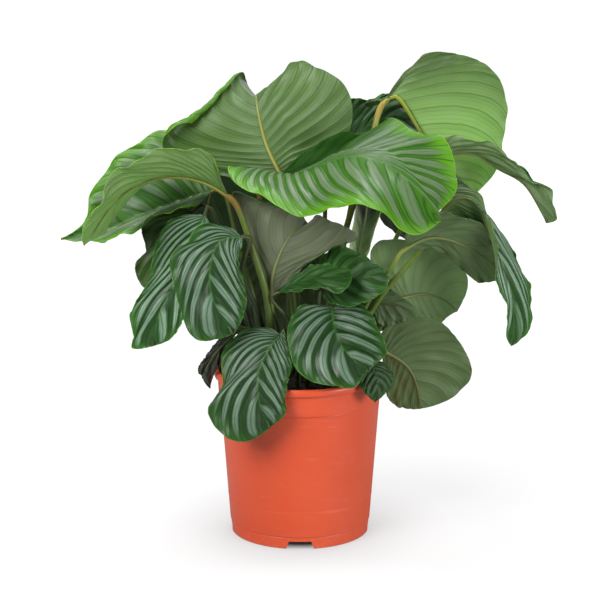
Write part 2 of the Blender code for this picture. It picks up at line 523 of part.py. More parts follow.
def blade_solid(leaf, surface):
    """A thin closed sheet: both faces are split into the same triangles, so they can't cross."""
    grid = blade_grid(leaf)
    rows, columns = grid.shape[:2]
    upward = unit(np.cross(np.gradient(grid, axis=1), np.gradient(grid, axis=0)))
    upper = (grid + upward * BLADE_THICKNESS / 2).reshape(-1, 3)
    lower = (grid - upward * BLADE_THICKNESS / 2).reshape(-1, 3)
    under = rows * columns
    faces = []
    for i in range(rows - 1):
        for j in range(columns - 1):
            a = i * columns + j
            b, c, d = a + 1, a + columns + 1, a + columns
            falling = np.linalg.norm(grid[i, j] - grid[i + 1, j + 1])
            rising = np.linalg.norm(grid[i, j + 1] - grid[i + 1, j])
            pair = [(a, b, c), (a, c, d)] if falling < rising else [(a, b, d), (b, c, d)]
            for triangle in pair:
                faces.append(triangle)
                faces.append(tuple(corner + under for corner in reversed(triangle)))
    border = [j for j in range(columns)]
    border += [i * columns + columns - 1 for i in range(1, rows)]
    border += [(rows - 1) * columns + j for j in range(columns - 2, -1, -1)]
    border += [i * columns for i in range(rows - 2, 0, -1)]
    for near, far in zip(border, border[1:] + border[:1]):
        faces.append((far, near, near + under))
        faces.append((far, near + under, far + under))
    return link_mesh(leaf.name, np.concatenate([upper, lower]), faces, surface)


def stalk_route(leaf):
    """Upright in its hole, then past the stalk's points and a short way along under the midrib."""
    rib = smooth_curve(leaf.rib)
    base = rib[0]
    ahead = unit(rib[6] - rib[0])
    near_base = np.array([0.35])
    across = read_curve(smooth_curve([leaf.rib[0]] + leaf.right + [leaf.rib[-1]]), near_base)[0]
    across = across - read_curve(smooth_curve([leaf.rib[0]] + leaf.left + [leaf.rib[-1]]), near_base)[0]
    sink = -unit(np.cross(across, ahead)) * leaf.girth[1] * 0.55
    foot = np.array([*leaf.foot, SOIL_HEIGHT])
    route = [foot - (0, 0, STALK_DEPTH), foot + (0, 0, 10.0)]
    route += [np.array(point, float) for point in leaf.stalk]
    route += [base - 12 * ahead + 0.6 * sink, base + 4 * ahead + sink, base + 16 * ahead + sink]
    curve = smooth_curve(route, max(6, round(polyline_length(route) / STALK_STEP)))
    share = np.clip((curve[:, 2:] - SOIL_HEIGHT - SOIL_CROWN) / 30.0, 0.0, 1.0)
    curve[:, :2] = leaf.foot + (curve[:, :2] - leaf.foot) * share * share * (3 - 2 * share)
    return curve


def stalk_solid(leaf):
    """A tapered round stem along the route."""
    route = stalk_route(leaf)
    count = len(route)
    heading = unit(np.gradient(route, axis=0))
    first = unit(np.cross(heading, np.array([0.3, 0.9, 0.1])))
    second = np.cross(heading, first)
    radius = np.linspace(leaf.girth[0], leaf.girth[1], count)[:, None, None]
    angle = (np.arange(STALK_SIDES) * math.tau / STALK_SIDES)[None, :, None]
    rings = route[:, None] + radius * (np.cos(angle) * first[:, None] + np.sin(angle) * second[:, None])
    faces = []
    for i in range(count - 1):
        for j in range(STALK_SIDES):
            a, b = i * STALK_SIDES + j, i * STALK_SIDES + (j + 1) % STALK_SIDES
            faces.append((a, b, b + STALK_SIDES, a + STALK_SIDES))
    last = (count - 1) * STALK_SIDES
    faces.append(tuple(range(STALK_SIDES - 1, -1, -1)))
    faces.append(tuple(range(last, last + STALK_SIDES)))
    return link_mesh(leaf.name + "_stalk", rings.reshape(-1, 3), faces)


def leaf_piece(leaf):
    """Blade and stalk grew as one, so they are one solid."""
    piece = blade_solid(leaf, material(leaf.name + "_green", leaf.colour, 0.35))
    combine(piece, stalk_solid(leaf), "UNION", "MANIFOLD")
    shade_round(piece)
    return piece


def main():
    clear_scene()
    pot()
    soil(LEAVES)
    for leaf in LEAVES:
        leaf_piece(leaf)


main()
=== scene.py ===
# %% [markdown]
# # A potted calathea
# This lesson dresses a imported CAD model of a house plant: a plastic nursery pot, its soil, and
# leaves that each stand on a stalk. The CAD gives every leaf its place as a thin plain sheet. Here
# each leaf is grown again at the same place with the pleats, veins, stripes and gloss of a real
# one, and the pot and the soil get their mouldings and crumbs.

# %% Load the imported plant
import math
from collections import namedtuple
from functools import partial

import bpy
import numpy as np
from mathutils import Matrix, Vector, noise


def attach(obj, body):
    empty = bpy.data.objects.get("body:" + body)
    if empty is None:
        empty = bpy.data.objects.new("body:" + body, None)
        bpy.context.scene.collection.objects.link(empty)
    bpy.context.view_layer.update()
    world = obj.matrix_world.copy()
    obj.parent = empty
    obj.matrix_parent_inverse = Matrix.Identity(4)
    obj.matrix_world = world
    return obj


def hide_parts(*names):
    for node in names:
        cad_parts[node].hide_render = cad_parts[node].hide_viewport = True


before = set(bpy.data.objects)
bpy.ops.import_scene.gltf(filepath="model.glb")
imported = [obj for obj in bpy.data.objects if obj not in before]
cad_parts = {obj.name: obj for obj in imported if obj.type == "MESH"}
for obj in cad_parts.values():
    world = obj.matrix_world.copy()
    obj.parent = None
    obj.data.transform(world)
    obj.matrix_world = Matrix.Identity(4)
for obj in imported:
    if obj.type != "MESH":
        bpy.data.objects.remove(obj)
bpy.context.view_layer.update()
MM = 0.001

# %% [markdown]
# The photograph was taken from a little above the plant, from far away, so lines hardly converge.
# The camera stands 3 m in front of the pot's axis and 1.05 m up, and looks down by 14 degrees. The
# lens is long for the same reason. This is set first, because everything is compared through it.

# %% Camera
CAMERA_PLACE = (0.0, -3.0, 1.049)
CAMERA_DOWN = math.radians(14.01)
CAMERA_LENS = 147.2

lens = bpy.data.cameras.new("camera")
lens.lens = CAMERA_LENS
camera = bpy.data.objects.new("camera", lens)
camera.location = CAMERA_PLACE
camera.rotation_euler = (math.pi / 2 - CAMERA_DOWN, 0.0, 0.0)
bpy.context.collection.objects.link(camera)
bpy.context.scene.camera = camera
print("lens", CAMERA_LENS)

# %% [markdown]
# A material is a tree of nodes, and every step below builds one. These helpers make a node with its
# settings and inputs in one call, so that a tree reads like the sentence that describes it.

# %% Node helpers
def deselect_all():
    for chosen in list(bpy.context.selected_objects):
        chosen.select_set(False)


def node(tree, kind, inputs=None, **settings):
    """A shader node with its settings made and its inputs linked or filled in."""
    made = tree.nodes.new(kind)
    for key, value in settings.items():
        setattr(made, key, value)
    for key, value in (inputs or {}).items():
        if isinstance(value, bpy.types.NodeSocket):
            tree.links.new(value, made.inputs[key])
        else:
            made.inputs[key].default_value = value
    return made


def math_node(tree, operation, first, second=0.0, third=0.0):
    return node(tree, "ShaderNodeMath", {0: first, 1: second, 2: third}, operation=operation).outputs[0]


def ramp(tree, value, low, high, to_low=0.0, to_high=1.0, shape="SMOOTHSTEP"):
    """From one number to another as value goes from low to high, smoothly if nothing else is said."""
    made = node(tree, "ShaderNodeMapRange", {0: value, 1: low, 2: high, 3: to_low, 4: to_high},
                interpolation_type=shape)
    return made.outputs[0]


def new_surface(name):
    """A new material, its tree and its shader."""
    surface = bpy.data.materials.new(name)
    surface.use_nodes = True
    return surface, surface.node_tree, surface.node_tree.nodes["Principled BSDF"]


def for_camera(tree, seen, other, socket):
    """One shader for what the camera sees, and another for the light that the object gets."""
    ray = node(tree, "ShaderNodeLightPath").outputs["Is Camera Ray"]
    mixed = node(tree, "ShaderNodeMixShader", {0: ray, 1: other, 2: seen})
    tree.links.new(mixed.outputs[0], socket)


deselect_all()
print("selected", len(bpy.context.selected_objects))

# %% [markdown]
# The plant stands on white paper. The paper glows a little by itself, so that it stays white while
# the lamps are set for the leaves. A painted shadow darkens its glow where the pot shuts out the
# light: softly round the foot, and almost fully under it. The plant gets only a grey reflection from it.

# %% Floor
FLOOR_SIZE = 40.0
FLOOR_DROP = 0.0005
PAPER_GREY = 0.17
PAPER_ROUGHNESS = 0.9
WHITE = (1.0, 1.0, 1.0, 1.0)
FLOOR_GLOW = 0.82
GLOW_NEAR, GLOW_FAR = 0.4, 2.5
FLOOR_SHADE = 0.60
SHADE_REACH = 0.12
SHADED, OPEN = 0.3, 0.97
UNDER_POT = 0.086
UNDER_POT_EASE = 0.018
UNDER_POT_GLOW = 0.04
FLOOR_BOUNCE = 0.38

bpy.ops.mesh.primitive_plane_add(size=FLOOR_SIZE, location=(0.0, 0.0, -FLOOR_DROP))
floor = bpy.context.object
floor.name = "white_floor"
paper, tree, white = new_surface("white paper")
white.inputs["Base Color"].default_value = (PAPER_GREY,) * 3 + (1.0,)
white.inputs["Roughness"].default_value = PAPER_ROUGHNESS
white.inputs["Specular IOR Level"].default_value = 0.0
white.inputs["Emission Color"].default_value = WHITE
# Ambient occlusion and the pot's footprint dim the glow: a painted shadow.
hidden = node(tree, "ShaderNodeAmbientOcclusion", {"Distance": SHADE_REACH}, samples=8).outputs["AO"]
place = node(tree, "ShaderNodeTexCoord").outputs["Object"]
away = node(tree, "ShaderNodeVectorMath", {0: place}, operation="LENGTH").outputs["Value"]
open_glow = ramp(tree, away, GLOW_NEAR, GLOW_FAR, FLOOR_GLOW, 1.0, "LINEAR")
shade = ramp(tree, hidden, SHADED, OPEN, FLOOR_SHADE, 1.0, "LINEAR")
covered = ramp(tree, away, UNDER_POT - UNDER_POT_EASE, UNDER_POT, UNDER_POT_GLOW, 1.0, "LINEAR")
shade = math_node(tree, "MULTIPLY", shade, covered)
tree.links.new(math_node(tree, "MULTIPLY", open_glow, shade), white.inputs["Emission Strength"])
grey = node(tree, "ShaderNodeBsdfDiffuse", {"Color": (FLOOR_BOUNCE,) * 3 + (1.0,)}).outputs[0]
for_camera(tree, white.outputs[0], grey, tree.nodes["Material Output"].inputs["Surface"])
floor.data.materials.append(paper)
print("floor", FLOOR_SIZE, "m")

# %% [markdown]
# A product photograph like this one is lit with large soft boxes. The strongest stands above and to
# the left and gives the gloss on the leaves. A weaker one fills from the right, one hangs overhead,
# and a wide one behind shines through the thin blades. White surroundings keep the shadows open.

# %% Lamps and surroundings
SURROUND = 0.14
SURROUND_COLOUR = (1.0, 0.99, 0.97, 1.0)


def soft_box(name, place, aim, size, watts):
    lamp = bpy.data.lights.new(name, "AREA")
    lamp.shape = "SQUARE"
    lamp.size = size
    lamp.energy = watts
    box = bpy.data.objects.new(name, lamp)
    box.location = place
    box.rotation_euler = (Vector(aim) - Vector(place)).to_track_quat("-Z", "Y").to_euler()
    bpy.context.collection.objects.link(box)


soft_box("key_light", (-1.75, -2.05, 2.0), (0.0, 0.0, 0.28), 1.6, 98.0)
soft_box("top_light", (-0.4, 0.3, 2.6), (0.0, 0.0, 0.35), 1.0, 42.0)
soft_box("fill_light", (2.4, -1.7, 0.8), (0.0, 0.0, 0.3), 1.3, 56.0)
soft_box("back_light", (0.9, 2.3, 1.5), (0.1, 0.0, 0.45), 2.4, 34.0)
surround = bpy.data.worlds.new("studio")
surround.use_nodes = True
tree = surround.node_tree
seen = node(tree, "ShaderNodeBackground", {"Color": WHITE}).outputs[0]
around = node(tree, "ShaderNodeBackground", {"Color": SURROUND_COLOUR, "Strength": SURROUND}).outputs[0]
for_camera(tree, seen, around, tree.nodes["World Output"].inputs["Surface"])
bpy.context.scene.world = surround
bpy.context.scene.view_settings.view_transform = "Standard"

# %% [markdown]
# Each leaf is written down as a maker would measure it: a midrib from the blade's base to its tip,
# the left and right margins between those ends, the point where its stalk leaves the soil, and the
# points that the stalk passes. They are the CAD's measures, in millimetres, so a blade lies where
# its CAD sheet lies, but for a few points of the crown's rolled margin and of the leaf behind it,
# which follow the real plant a little more closely.
#
# - The words upper and under say how its two faces look, and stem says how its stalk looks.
# - Bands is the number of veins in a half, and sweep is how late they leave the midrib, in the left
#   and the right half. Pleat is the height of the pleats as a share of the veins' spacing.
# - Girth is the stalk's radius at the soil and at the blade.
# - Camber is how far each half bulges up, and wave is the height and number of the margin's waves.
# - A curl rolls one margin over: its side, how many degrees it turns at even steps from base to tip,
#   and the share of the half's width where it starts.
# - Tone is partly the leaf's own tone and partly painted shade and painted light: how much darker
#   the leaf is painted at base and tip, where less than nothing paints it lighter. Fold is the share
#   of the left half, from the base, that stands up out of the light and is painted dark and plain:
#   painted shade.

# %% The leaves' measures
Curl = namedtuple("Curl", "side degrees start")
Leaf = namedtuple(
    "Leaf",
    "name upper under bands rib left right foot stalk girth camber wave curl pleat tone fold stem sweep",
    defaults=((0.06, 0.06), (2.5, 5), None, 0.085, (0.0, 0.0), 0.0, "dark", (4.0, 4.0)))
LEAVES = [
    Leaf("leaf_crown", "bright", "fresh", 17,
         rib=[(-24, 0, 461), (-43, 18, 498), (-54, 55, 538), (-56, 85, 545), (-61, 165, 531)],
         left=[(0, 5, 453), (31, 8, 472), (60, 34, 505), (66, 40, 535), (58, 52, 563),
               (34, 72, 578), (-1, 96, 591), (-19, 124, 568), (-39, 148, 549)],
         right=[(-48, 8, 445), (-75, 14, 450), (-103, 20, 465), (-144, 22, 476), (-175, 20, 490),
                (-186, 20, 509), (-175, 24, 522), (-130, 50, 543), (-105, 76, 563), (-89, 98, 576),
                (-72, 132, 558)],
         foot=(-12, 18), stalk=[(-15, 30, 358), (-19, 22, 418)], girth=(4.0, 2.6),
         camber=(0.04, 0.04), curl=Curl("right", (0, 0, 0, 0, 260, 240, 220, 60, 0), 0.77),
         pleat=0.07, tone=(0.1, 0.2), sweep=(2.4, 2.8), stem="bright"),
    Leaf("leaf_left_shoulder", "bright", "fresh", 12,
         rib=[(-111, 30, 434), (-145, 30, 422), (-189, 28, 407), (-227, 24, 393), (-265, 18, 382),
              (-301, 12, 377)],
         left=[(-125, 10, 424), (-144, -12, 421), (-170, -16, 416), (-188, -18, 407),
               (-205, -18, 395), (-234, -6, 382), (-266, 4, 374)],
         right=[(-101, 55, 463), (-127, 68, 490), (-180, 72, 504), (-207, 66, 488),
                (-232, 60, 474), (-247, 52, 454), (-266, 40, 426), (-268, 28, 405),
                (-283, 18, 386)],
         foot=(-44, -12), stalk=[(-58, -6, 302), (-81, 10, 382)], girth=(4.0, 2.6),
         pleat=0.1, tone=(0.1, 0.1), sweep=(4.5, 4.5), stem="bright"),
    Leaf("leaf_front_crown", "bright", "fresh", 18,
         rib=[(-24, -15, 457), (0, -20, 465), (55, -50, 493), (120, -98, 482), (170, -128, 431)],
         left=[(-13, -8, 475), (22, 0, 501), (62, 4, 514), (82, 6, 511), (111, 16, 527),
               (144, -8, 518), (175, -30, 513), (191, -52, 480), (186, -78, 448), (168, -108, 438)],
         right=[(-47, -13, 452), (-75, -12, 461), (-89, -18, 473), (-81, -45, 461),
                (-59, -58, 452), (-29, -83, 439), (14, -110, 432), (64, -147, 456),
                (106, -160, 437), (136, -156, 419)],
         foot=(2, -10), stalk=[(-15, 4, 351), (-19, 10, 395), (-21, 0, 429)], girth=(4.0, 2.6),
         camber=(0.04, 0.08), fold=0.5, sweep=(1.5, 4.8), stem="bright"),
    Leaf("leaf_left_arch", "bright", "sage", 17,
         rib=[(-89, -47, 445), (-107, -53, 458), (-137, -62, 470), (-182, -76, 470),
              (-222, -88, 448), (-245, -96, 418), (-262, -100, 394)],
         left=[(-98, -62, 469), (-102, -72, 490), (-116, -82, 506), (-137, -88, 511),
               (-169, -100, 511), (-204, -112, 497), (-230, -118, 478), (-242, -120, 448),
               (-262, -116, 415)],
         right=[(-111, -30, 455), (-143, -4, 463), (-181, 5, 461), (-214, -5, 445),
                (-226, -35, 419), (-246, -75, 400)],
         foot=(-33, -36), stalk=[(-40, -50, 307), (-48, -52, 345), (-67, -45, 403)], girth=(5.5, 3.8),
         camber=(-0.12, 0.05), pleat=0.07, tone=(0, -0.5), stem="bright"),
    Leaf("leaf_right_arch", "bright", "light", 14,
         rib=[(108, 74, 539), (120, 70, 549), (138, 66, 529), (178, 70, 467), (226, 78, 422)],
         left=[(95, 86, 540), (82, 102, 531), (109, 122, 530), (135, 138, 538), (175, 148, 544),
               (214, 148, 518), (234, 112, 465)],
         right=[(110, 76, 545), (121, 80, 562), (152, 84, 596), (183, 88, 602), (233, 92, 587),
                (261, 90, 549), (260, 84, 492), (250, 78, 451)],
         foot=(26, 10), stalk=[(57, 22, 383), (84, 58, 462)], girth=(4.4, 3.6),
         # Its tone paints the lower blade much lighter: painted light where the blade glows through.
         pleat=0.045, tone=(0.45, -1.9), sweep=(4.8, 4.8), stem="golden"),
    Leaf("leaf_far_right", "dark", "olive", 10,
         rib=[(176, 35, 476), (219, 38, 480), (248, 34, 463), (277, 26, 448), (295, 18, 425),
              (310, 12, 397)],
         left=[(189, 50, 487), (227, 52, 489), (259, 48, 477), (290, 38, 452), (307, 24, 420)],
         right=[(181, 30, 502), (205, 26, 503), (236, 24, 497), (265, 18, 478), (291, 10, 451),
                (312, 6, 442), (317, 4, 422), (322, 4, 404)],
         foot=(40, 18), stalk=[(84, 26, 299), (126, 30, 383), (151, 32, 438)], girth=(3.6, 2.4),
         pleat=0.08, tone=(-0.25, -0.1), stem="olive"),
    Leaf("leaf_right_drooping", "dark", "olive", 19,
         rib=[(175, -5, 412), (193, -12, 432), (217, -20, 432), (231, -24, 405), (241, -26, 379),
              (255, -24, 345), (268, -18, 292), (267, -10, 243)],
         left=[(187, -2, 407), (212, -4, 402), (227, -8, 387), (237, -10, 376), (251, -8, 372),
               (272, 0, 352), (287, 4, 322), (293, 4, 293), (286, 0, 256)],
         right=[(182, -2, 435), (194, 4, 456), (211, -6, 446), (225, -14, 436), (233, -24, 416),
                (243, -40, 392), (243, -38, 358), (249, -36, 322), (260, -30, 285),
                (260, -18, 256)],
         foot=(46, -14), stalk=[(89, -6, 286), (118, 0, 326), (152, 6, 365)], girth=(4.6, 3.0),
         tone=(-0.2, -1.8), sweep=(7.0, 7.0), stem="olive"),
    Leaf("leaf_right_middle", "dark", "olive", 11,
         rib=[(134, -32, 376), (154, -30, 386), (180, -24, 385), (219, -10, 365), (256, 6, 335)],
         left=[(143, -22, 371), (155, -16, 371), (171, -8, 367), (187, -2, 357), (202, 2, 341),
               (225, 5, 323), (247, 6, 324)],
         right=[(131, -36, 394), (154, -38, 413), (175, -36, 421), (196, -32, 415),
                (226, -26, 403), (242, -12, 370)],
         foot=(56, -26), stalk=[(85, -27, 305), (118, -33, 357)], girth=(3.8, 2.6),
         pleat=0.03, tone=(0, 0), stem="olive"),
    Leaf("leaf_right_shaded", "dark", "olive", 11,
         rib=[(129, 24, 296), (153, 36, 299), (182, 48, 290), (202, 54, 272)],
         left=[(134, 26, 274), (153, 32, 260), (179, 44, 259), (195, 52, 269)],
         right=[(108, 22, 315), (90, 20, 342), (92, 18, 367), (112, 22, 374), (135, 30, 371),
                (165, 38, 363), (190, 44, 347), (208, 48, 331), (215, 52, 311), (210, 54, 288)],
         foot=(56, 12), stalk=[(97, 20, 250)], girth=(3.6, 2.4),
         pleat=0.035, tone=(-0.7, -0.7), sweep=(3.0, 3.0), stem="olive"),
    Leaf("leaf_right_curled", "dark", "olive", 7,
         rib=[(93, 8, 295), (111, 6, 294), (129, 6, 291), (147, 8, 280)],
         left=[(96, 10, 274), (109, 10, 263), (127, 9, 269), (142, 8, 274)],
         right=[(101, 9, 306), (115, 10, 310), (129, 9, 302), (141, 8, 293)],
         foot=(36, -4), stalk=[(68, 2, 248)], girth=(3.0, 2.2), pleat=0.04, tone=(0.1, 0.1)),
    Leaf("leaf_lower_right", "dark", "olive", 12,
         rib=[(108, 24, 227), (128, 32, 213), (145, 38, 192), (156, 46, 144)],
         left=[(106, 33, 212), (109, 41, 184), (114, 46, 158), (132, 48, 144)],
         right=[(103, 19, 250), (115, 14, 266), (146, 14, 273), (178, 22, 266), (200, 38, 242),
                (217, 46, 212), (221, 52, 184), (203, 54, 161), (176, 52, 147)],
         foot=(64, -4), stalk=[(91, 6, 218)], girth=(3.4, 2.4),
         pleat=0.05, tone=(0, -0.1), sweep=(3.0, 3.0), stem="olive"),
    Leaf("leaf_front_round", "dark", "olive", 9,
         rib=[(40, -54, 305), (41, -72, 293), (48, -94, 272), (63, -106, 254), (84, -112, 240)],
         left=[(62, -56, 309), (83, -64, 306), (93, -78, 292), (103, -90, 271), (106, -100, 257),
               (94, -108, 248)],
         right=[(18, -54, 309), (1, -58, 307), (-14, -76, 289), (-15, -90, 270), (-4, -112, 240),
                (17, -122, 228), (43, -126, 223), (68, -124, 222), (76, -116, 232)],
         foot=(26, -46), stalk=[(27, -46, 254)], girth=(3.2, 2.4)),
    Leaf("leaf_front_small", "plain", "olive", 8,
         rib=[(88, -72, 237), (95, -80, 221), (96, -84, 207), (93, -84, 191)],
         left=[(99, -66, 239), (114, -66, 225), (115, -70, 209), (104, -78, 199)],
         right=[(79, -74, 232), (73, -84, 218), (80, -92, 205)],
         foot=(44, -54), stalk=[(64, -60, 249)], girth=(2.6, 2.0), tone=(0.2, 0.2)),
    Leaf("leaf_centre_front", "plain", "olive", 7,
         rib=[(-26, -57, 325), (0, -60, 338), (31, -68, 347), (64, -74, 351)],
         left=[(-16, -48, 335), (0, -46, 348), (22, -46, 358), (43, -52, 357), (60, -62, 355)],
         right=[(-11, -74, 329), (10, -88, 336), (30, -96, 339), (49, -98, 334), (61, -88, 343)],
         foot=(-2, -48), stalk=[(-10, -52, 281)], girth=(3.0, 2.2), pleat=0.06),
    Leaf("leaf_centre_behind", "plain", "olive", 8,
         rib=[(31, -32, 324), (62, -48, 338), (86, -54, 344), (108, -56, 345)],
         left=[(27, -12, 351), (39, -2, 368), (68, -4, 366), (90, -22, 356), (102, -40, 350)],
         right=[(31, -60, 317), (55, -76, 311), (84, -72, 317), (106, -66, 331)],
         foot=(10, -36), stalk=[(22, -36, 271)], girth=(3.0, 2.2), pleat=0.06),
    Leaf("leaf_front_left", "dark", "olive", 11,
         rib=[(-72, -66, 396), (-95, -76, 395), (-107, -84, 377), (-110, -92, 342),
              (-101, -96, 314), (-81, -94, 281)],
         left=[(-70, -68, 389), (-75, -76, 375), (-72, -86, 353), (-65, -92, 323), (-72, -94, 297)],
         right=[(-83, -64, 407), (-104, -64, 411), (-127, -66, 409), (-141, -74, 389),
                (-158, -82, 375), (-153, -90, 338), (-142, -96, 298), (-125, -100, 275),
                (-99, -98, 276)],
         foot=(-47, -32), stalk=[(-48, -38, 278), (-65, -48, 325), (-70, -58, 363)], girth=(4.4, 2.8),
         tone=(-0.15, -0.15)),
    Leaf("leaf_left_hanging", "dark", "olive", 12,
         rib=[(-118, -20, 414), (-134, -32, 375), (-155, -42, 334), (-174, -48, 297),
              (-182, -50, 254)],
         left=[(-109, -28, 391), (-118, -44, 350), (-130, -54, 314), (-146, -58, 288),
               (-159, -56, 266)],
         right=[(-143, -14, 413), (-167, -14, 401), (-180, -24, 373), (-185, -30, 352),
                (-194, -38, 323), (-212, -44, 292), (-207, -46, 267), (-210, -46, 250)],
         foot=(-62, -8), stalk=[(-76, -8, 289), (-92, -14, 368)], girth=(3.6, 2.4),
         tone=(-0.8, -0.8), sweep=(5.0, 5.0)),
    Leaf("leaf_left_wavy", "plain", "fresh", 9,
         rib=[(-131, 20, 410), (-153, 14, 390), (-173, 10, 360), (-186, 8, 317)],
         left=[(-157, 22, 414), (-186, 20, 404), (-200, 18, 387), (-194, 14, 362), (-206, 12, 347),
               (-206, 10, 328), (-196, 9, 314)],
         right=[(-132, 10, 382), (-145, 6, 348), (-164, 6, 320)],
         foot=(-46, 14), stalk=[(-76, 16, 310)], girth=(3.2, 2.2), tone=(0.55, 0.25)),
    Leaf("leaf_lower_left", "dark", "olive", 13,
         rib=[(-24, -70, 273), (-39, -92, 260), (-50, -112, 238), (-51, -122, 211),
              (-47, -125, 193), (-36, -124, 171)],
         left=[(-20, -66, 281), (-17, -78, 269), (-11, -98, 247), (-15, -110, 222),
               (-18, -118, 204), (-17, -122, 191), (-25, -124, 180)],
         right=[(-38, -64, 281), (-64, -64, 278), (-92, -74, 262), (-96, -90, 229),
                (-101, -104, 205), (-113, -112, 185), (-93, -122, 160), (-67, -128, 153),
                (-47, -127, 163)],
         foot=(-16, -56), stalk=[(-20, -60, 251)], girth=(3.2, 2.4)),
    # This withered leaf's blade reaches over the deep shade by the pot's rim; its grey underside is partly
    # painted shade.
    Leaf("leaf_lower_narrow", "dark", "withered_and_shaded", 6,
         rib=[(-80, -50, 271), (-99, -45, 251), (-114, -39, 228), (-121, -34, 207),
              (-113, -34, 194)],
         left=[(-101, -46, 261), (-118, -40, 237), (-128, -36, 220), (-123, -34, 209)],
         right=[(-87, -32, 250), (-98, -36, 231), (-109, -36, 210)],
         foot=(-36, -60), stalk=[(-52, -58, 257)], girth=(2.6, 2.0), pleat=0.2),
    Leaf("leaf_centre_grey", "dark", "grey", 13,
         rib=[(-36, -38, 315), (-34, -38, 341), (-21, -32, 376), (-3, -18, 397), (14, 4, 392)],
         left=[(-28, -34, 327), (-10, -32, 334), (9, -28, 355), (30, -24, 367), (53, -18, 378),
               (72, -12, 384), (62, -4, 393), (37, 2, 403), (22, 4, 409)],
         right=[(-47, -38, 332), (-60, -34, 373), (-73, -26, 409), (-88, -20, 453),
                (-67, -22, 451), (-37, -22, 439), (-3, -10, 416)],
         foot=(-20, -24), stalk=[(-28, -32, 276)], girth=(3.8, 2.5),
         curl=Curl("right", (0, 0, 0, 60, 150, 150, 60), 0.75), pleat=0.05, stem="olive"),
    Leaf("young_leaf_rolled", "young", "young", 6,
         rib=[(73, 24, 344), (77, 22, 373), (82, 20, 402), (86, 18, 441)],
         left=[(84, 14, 354), (90, 12, 375), (100, 10, 408), (105, 10, 433)],
         right=[(63, 14, 354), (65, 12, 382), (69, 10, 408), (75, 10, 433)],
         foot=(14, -6), stalk=[(63, 6, 273)], girth=(3.6, 3.0),
         # Its tone paints shade over its top and light on its base.
         camber=(0.50, 0.50), wave=(0.0, 3), tone=(-1.2, 1.9), sweep=(2.5, 2.5), stem="young"),
    Leaf("leaf_behind_crown", "plain", "shaded", 11,
         rib=[(44, 74, 476), (79, 100, 500), (116, 132, 510), (154, 164, 494)],
         left=[(48, 90, 508), (63, 110, 538), (82, 130, 534), (118, 158, 537), (141, 170, 518)],
         right=[(79, 86, 476), (118, 104, 478), (149, 136, 478)],
         foot=(14, 32), stalk=[(32, 52, 405)], girth=(3.6, 2.6), stem="bright"),
    Leaf("leaf_back_left", "bright", "shaded", 13,
         rib=[(-58, 95, 425), (-88, 130, 450), (-118, 175, 405), (-130, 205, 300)],
         left=[(-84, 90, 440), (-136, 108, 438), (-175, 140, 368), (-170, 180, 292)],
         right=[(-44, 115, 432), (-36, 158, 432), (-46, 208, 372), (-78, 225, 296)],
         foot=(-30, 30), stalk=[(-48, 60, 330)], girth=(4.0, 2.6), stem="bright"),
    Leaf("leaf_back_middle", "bright", "shaded", 14,
         rib=[(0, 105, 470), (5, 150, 492), (10, 215, 465), (8, 270, 380)],
         left=[(-30, 110, 462), (-75, 150, 460), (-85, 215, 425), (-50, 265, 370)],
         right=[(30, 108, 462), (80, 150, 460), (92, 215, 425), (60, 265, 370)],
         foot=(-2, 46), stalk=[(-4, 75, 350)], girth=(4.0, 2.6), stem="bright"),
    Leaf("leaf_back_right", "bright", "shaded", 13,
         rib=[(75, 105, 420), (105, 140, 440), (140, 185, 410), (165, 225, 325)],
         left=[(55, 120, 425), (55, 170, 430), (90, 230, 390), (130, 245, 330)],
         right=[(105, 95, 405), (155, 100, 400), (200, 140, 360), (205, 185, 305)],
         foot=(30, 34), stalk=[(52, 75, 320)], girth=(4.0, 2.6), stem="bright"),
    Leaf("leaf_back_low", "dark", "shaded", 11,
         rib=[(-14, 118, 335), (-16, 150, 334), (-18, 174, 284), (-18, 182, 202)],
         left=[(-44, 118, 330), (-84, 144, 318), (-104, 172, 262), (-82, 186, 206)],
         right=[(16, 120, 328), (50, 145, 318), (64, 175, 260), (42, 188, 206)],
         foot=(-6, 58), stalk=[(-10, 84, 270)], girth=(3.2, 2.4)),
    Leaf("leaf_back_low_right", "dark", "shaded", 10,
         rib=[(85, 90, 300), (108, 110, 308), (135, 140, 280), (145, 155, 220)],
         left=[(62, 100, 292), (56, 135, 282), (76, 168, 248), (112, 178, 212)],
         right=[(108, 78, 290), (145, 90, 280), (165, 120, 245), (160, 145, 215)],
         foot=(40, 50), stalk=[(60, 68, 250)], girth=(3.2, 2.4)),
]
print("leaves", len(LEAVES))

# %% [markdown]
# A midrib or a margin is known at a few points, and a natural cubic through them gives the smooth
# line that a growing leaf has. It is read at even steps of its length, so that a share of the list
# is a share of the line.

# %% Curves
CURVE_STEPS = 400


def unit(vectors):
    return vectors / np.maximum(np.linalg.norm(vectors, axis=-1, keepdims=True), 1e-9)


def polyline_length(points):
    return np.linalg.norm(np.diff(np.asarray(points, float), axis=0), axis=1).sum()


def run_along(points):
    """How far each point lies from the first, along the line."""
    return np.concatenate([[0.0], np.cumsum(np.linalg.norm(np.diff(points, axis=0), axis=1))])


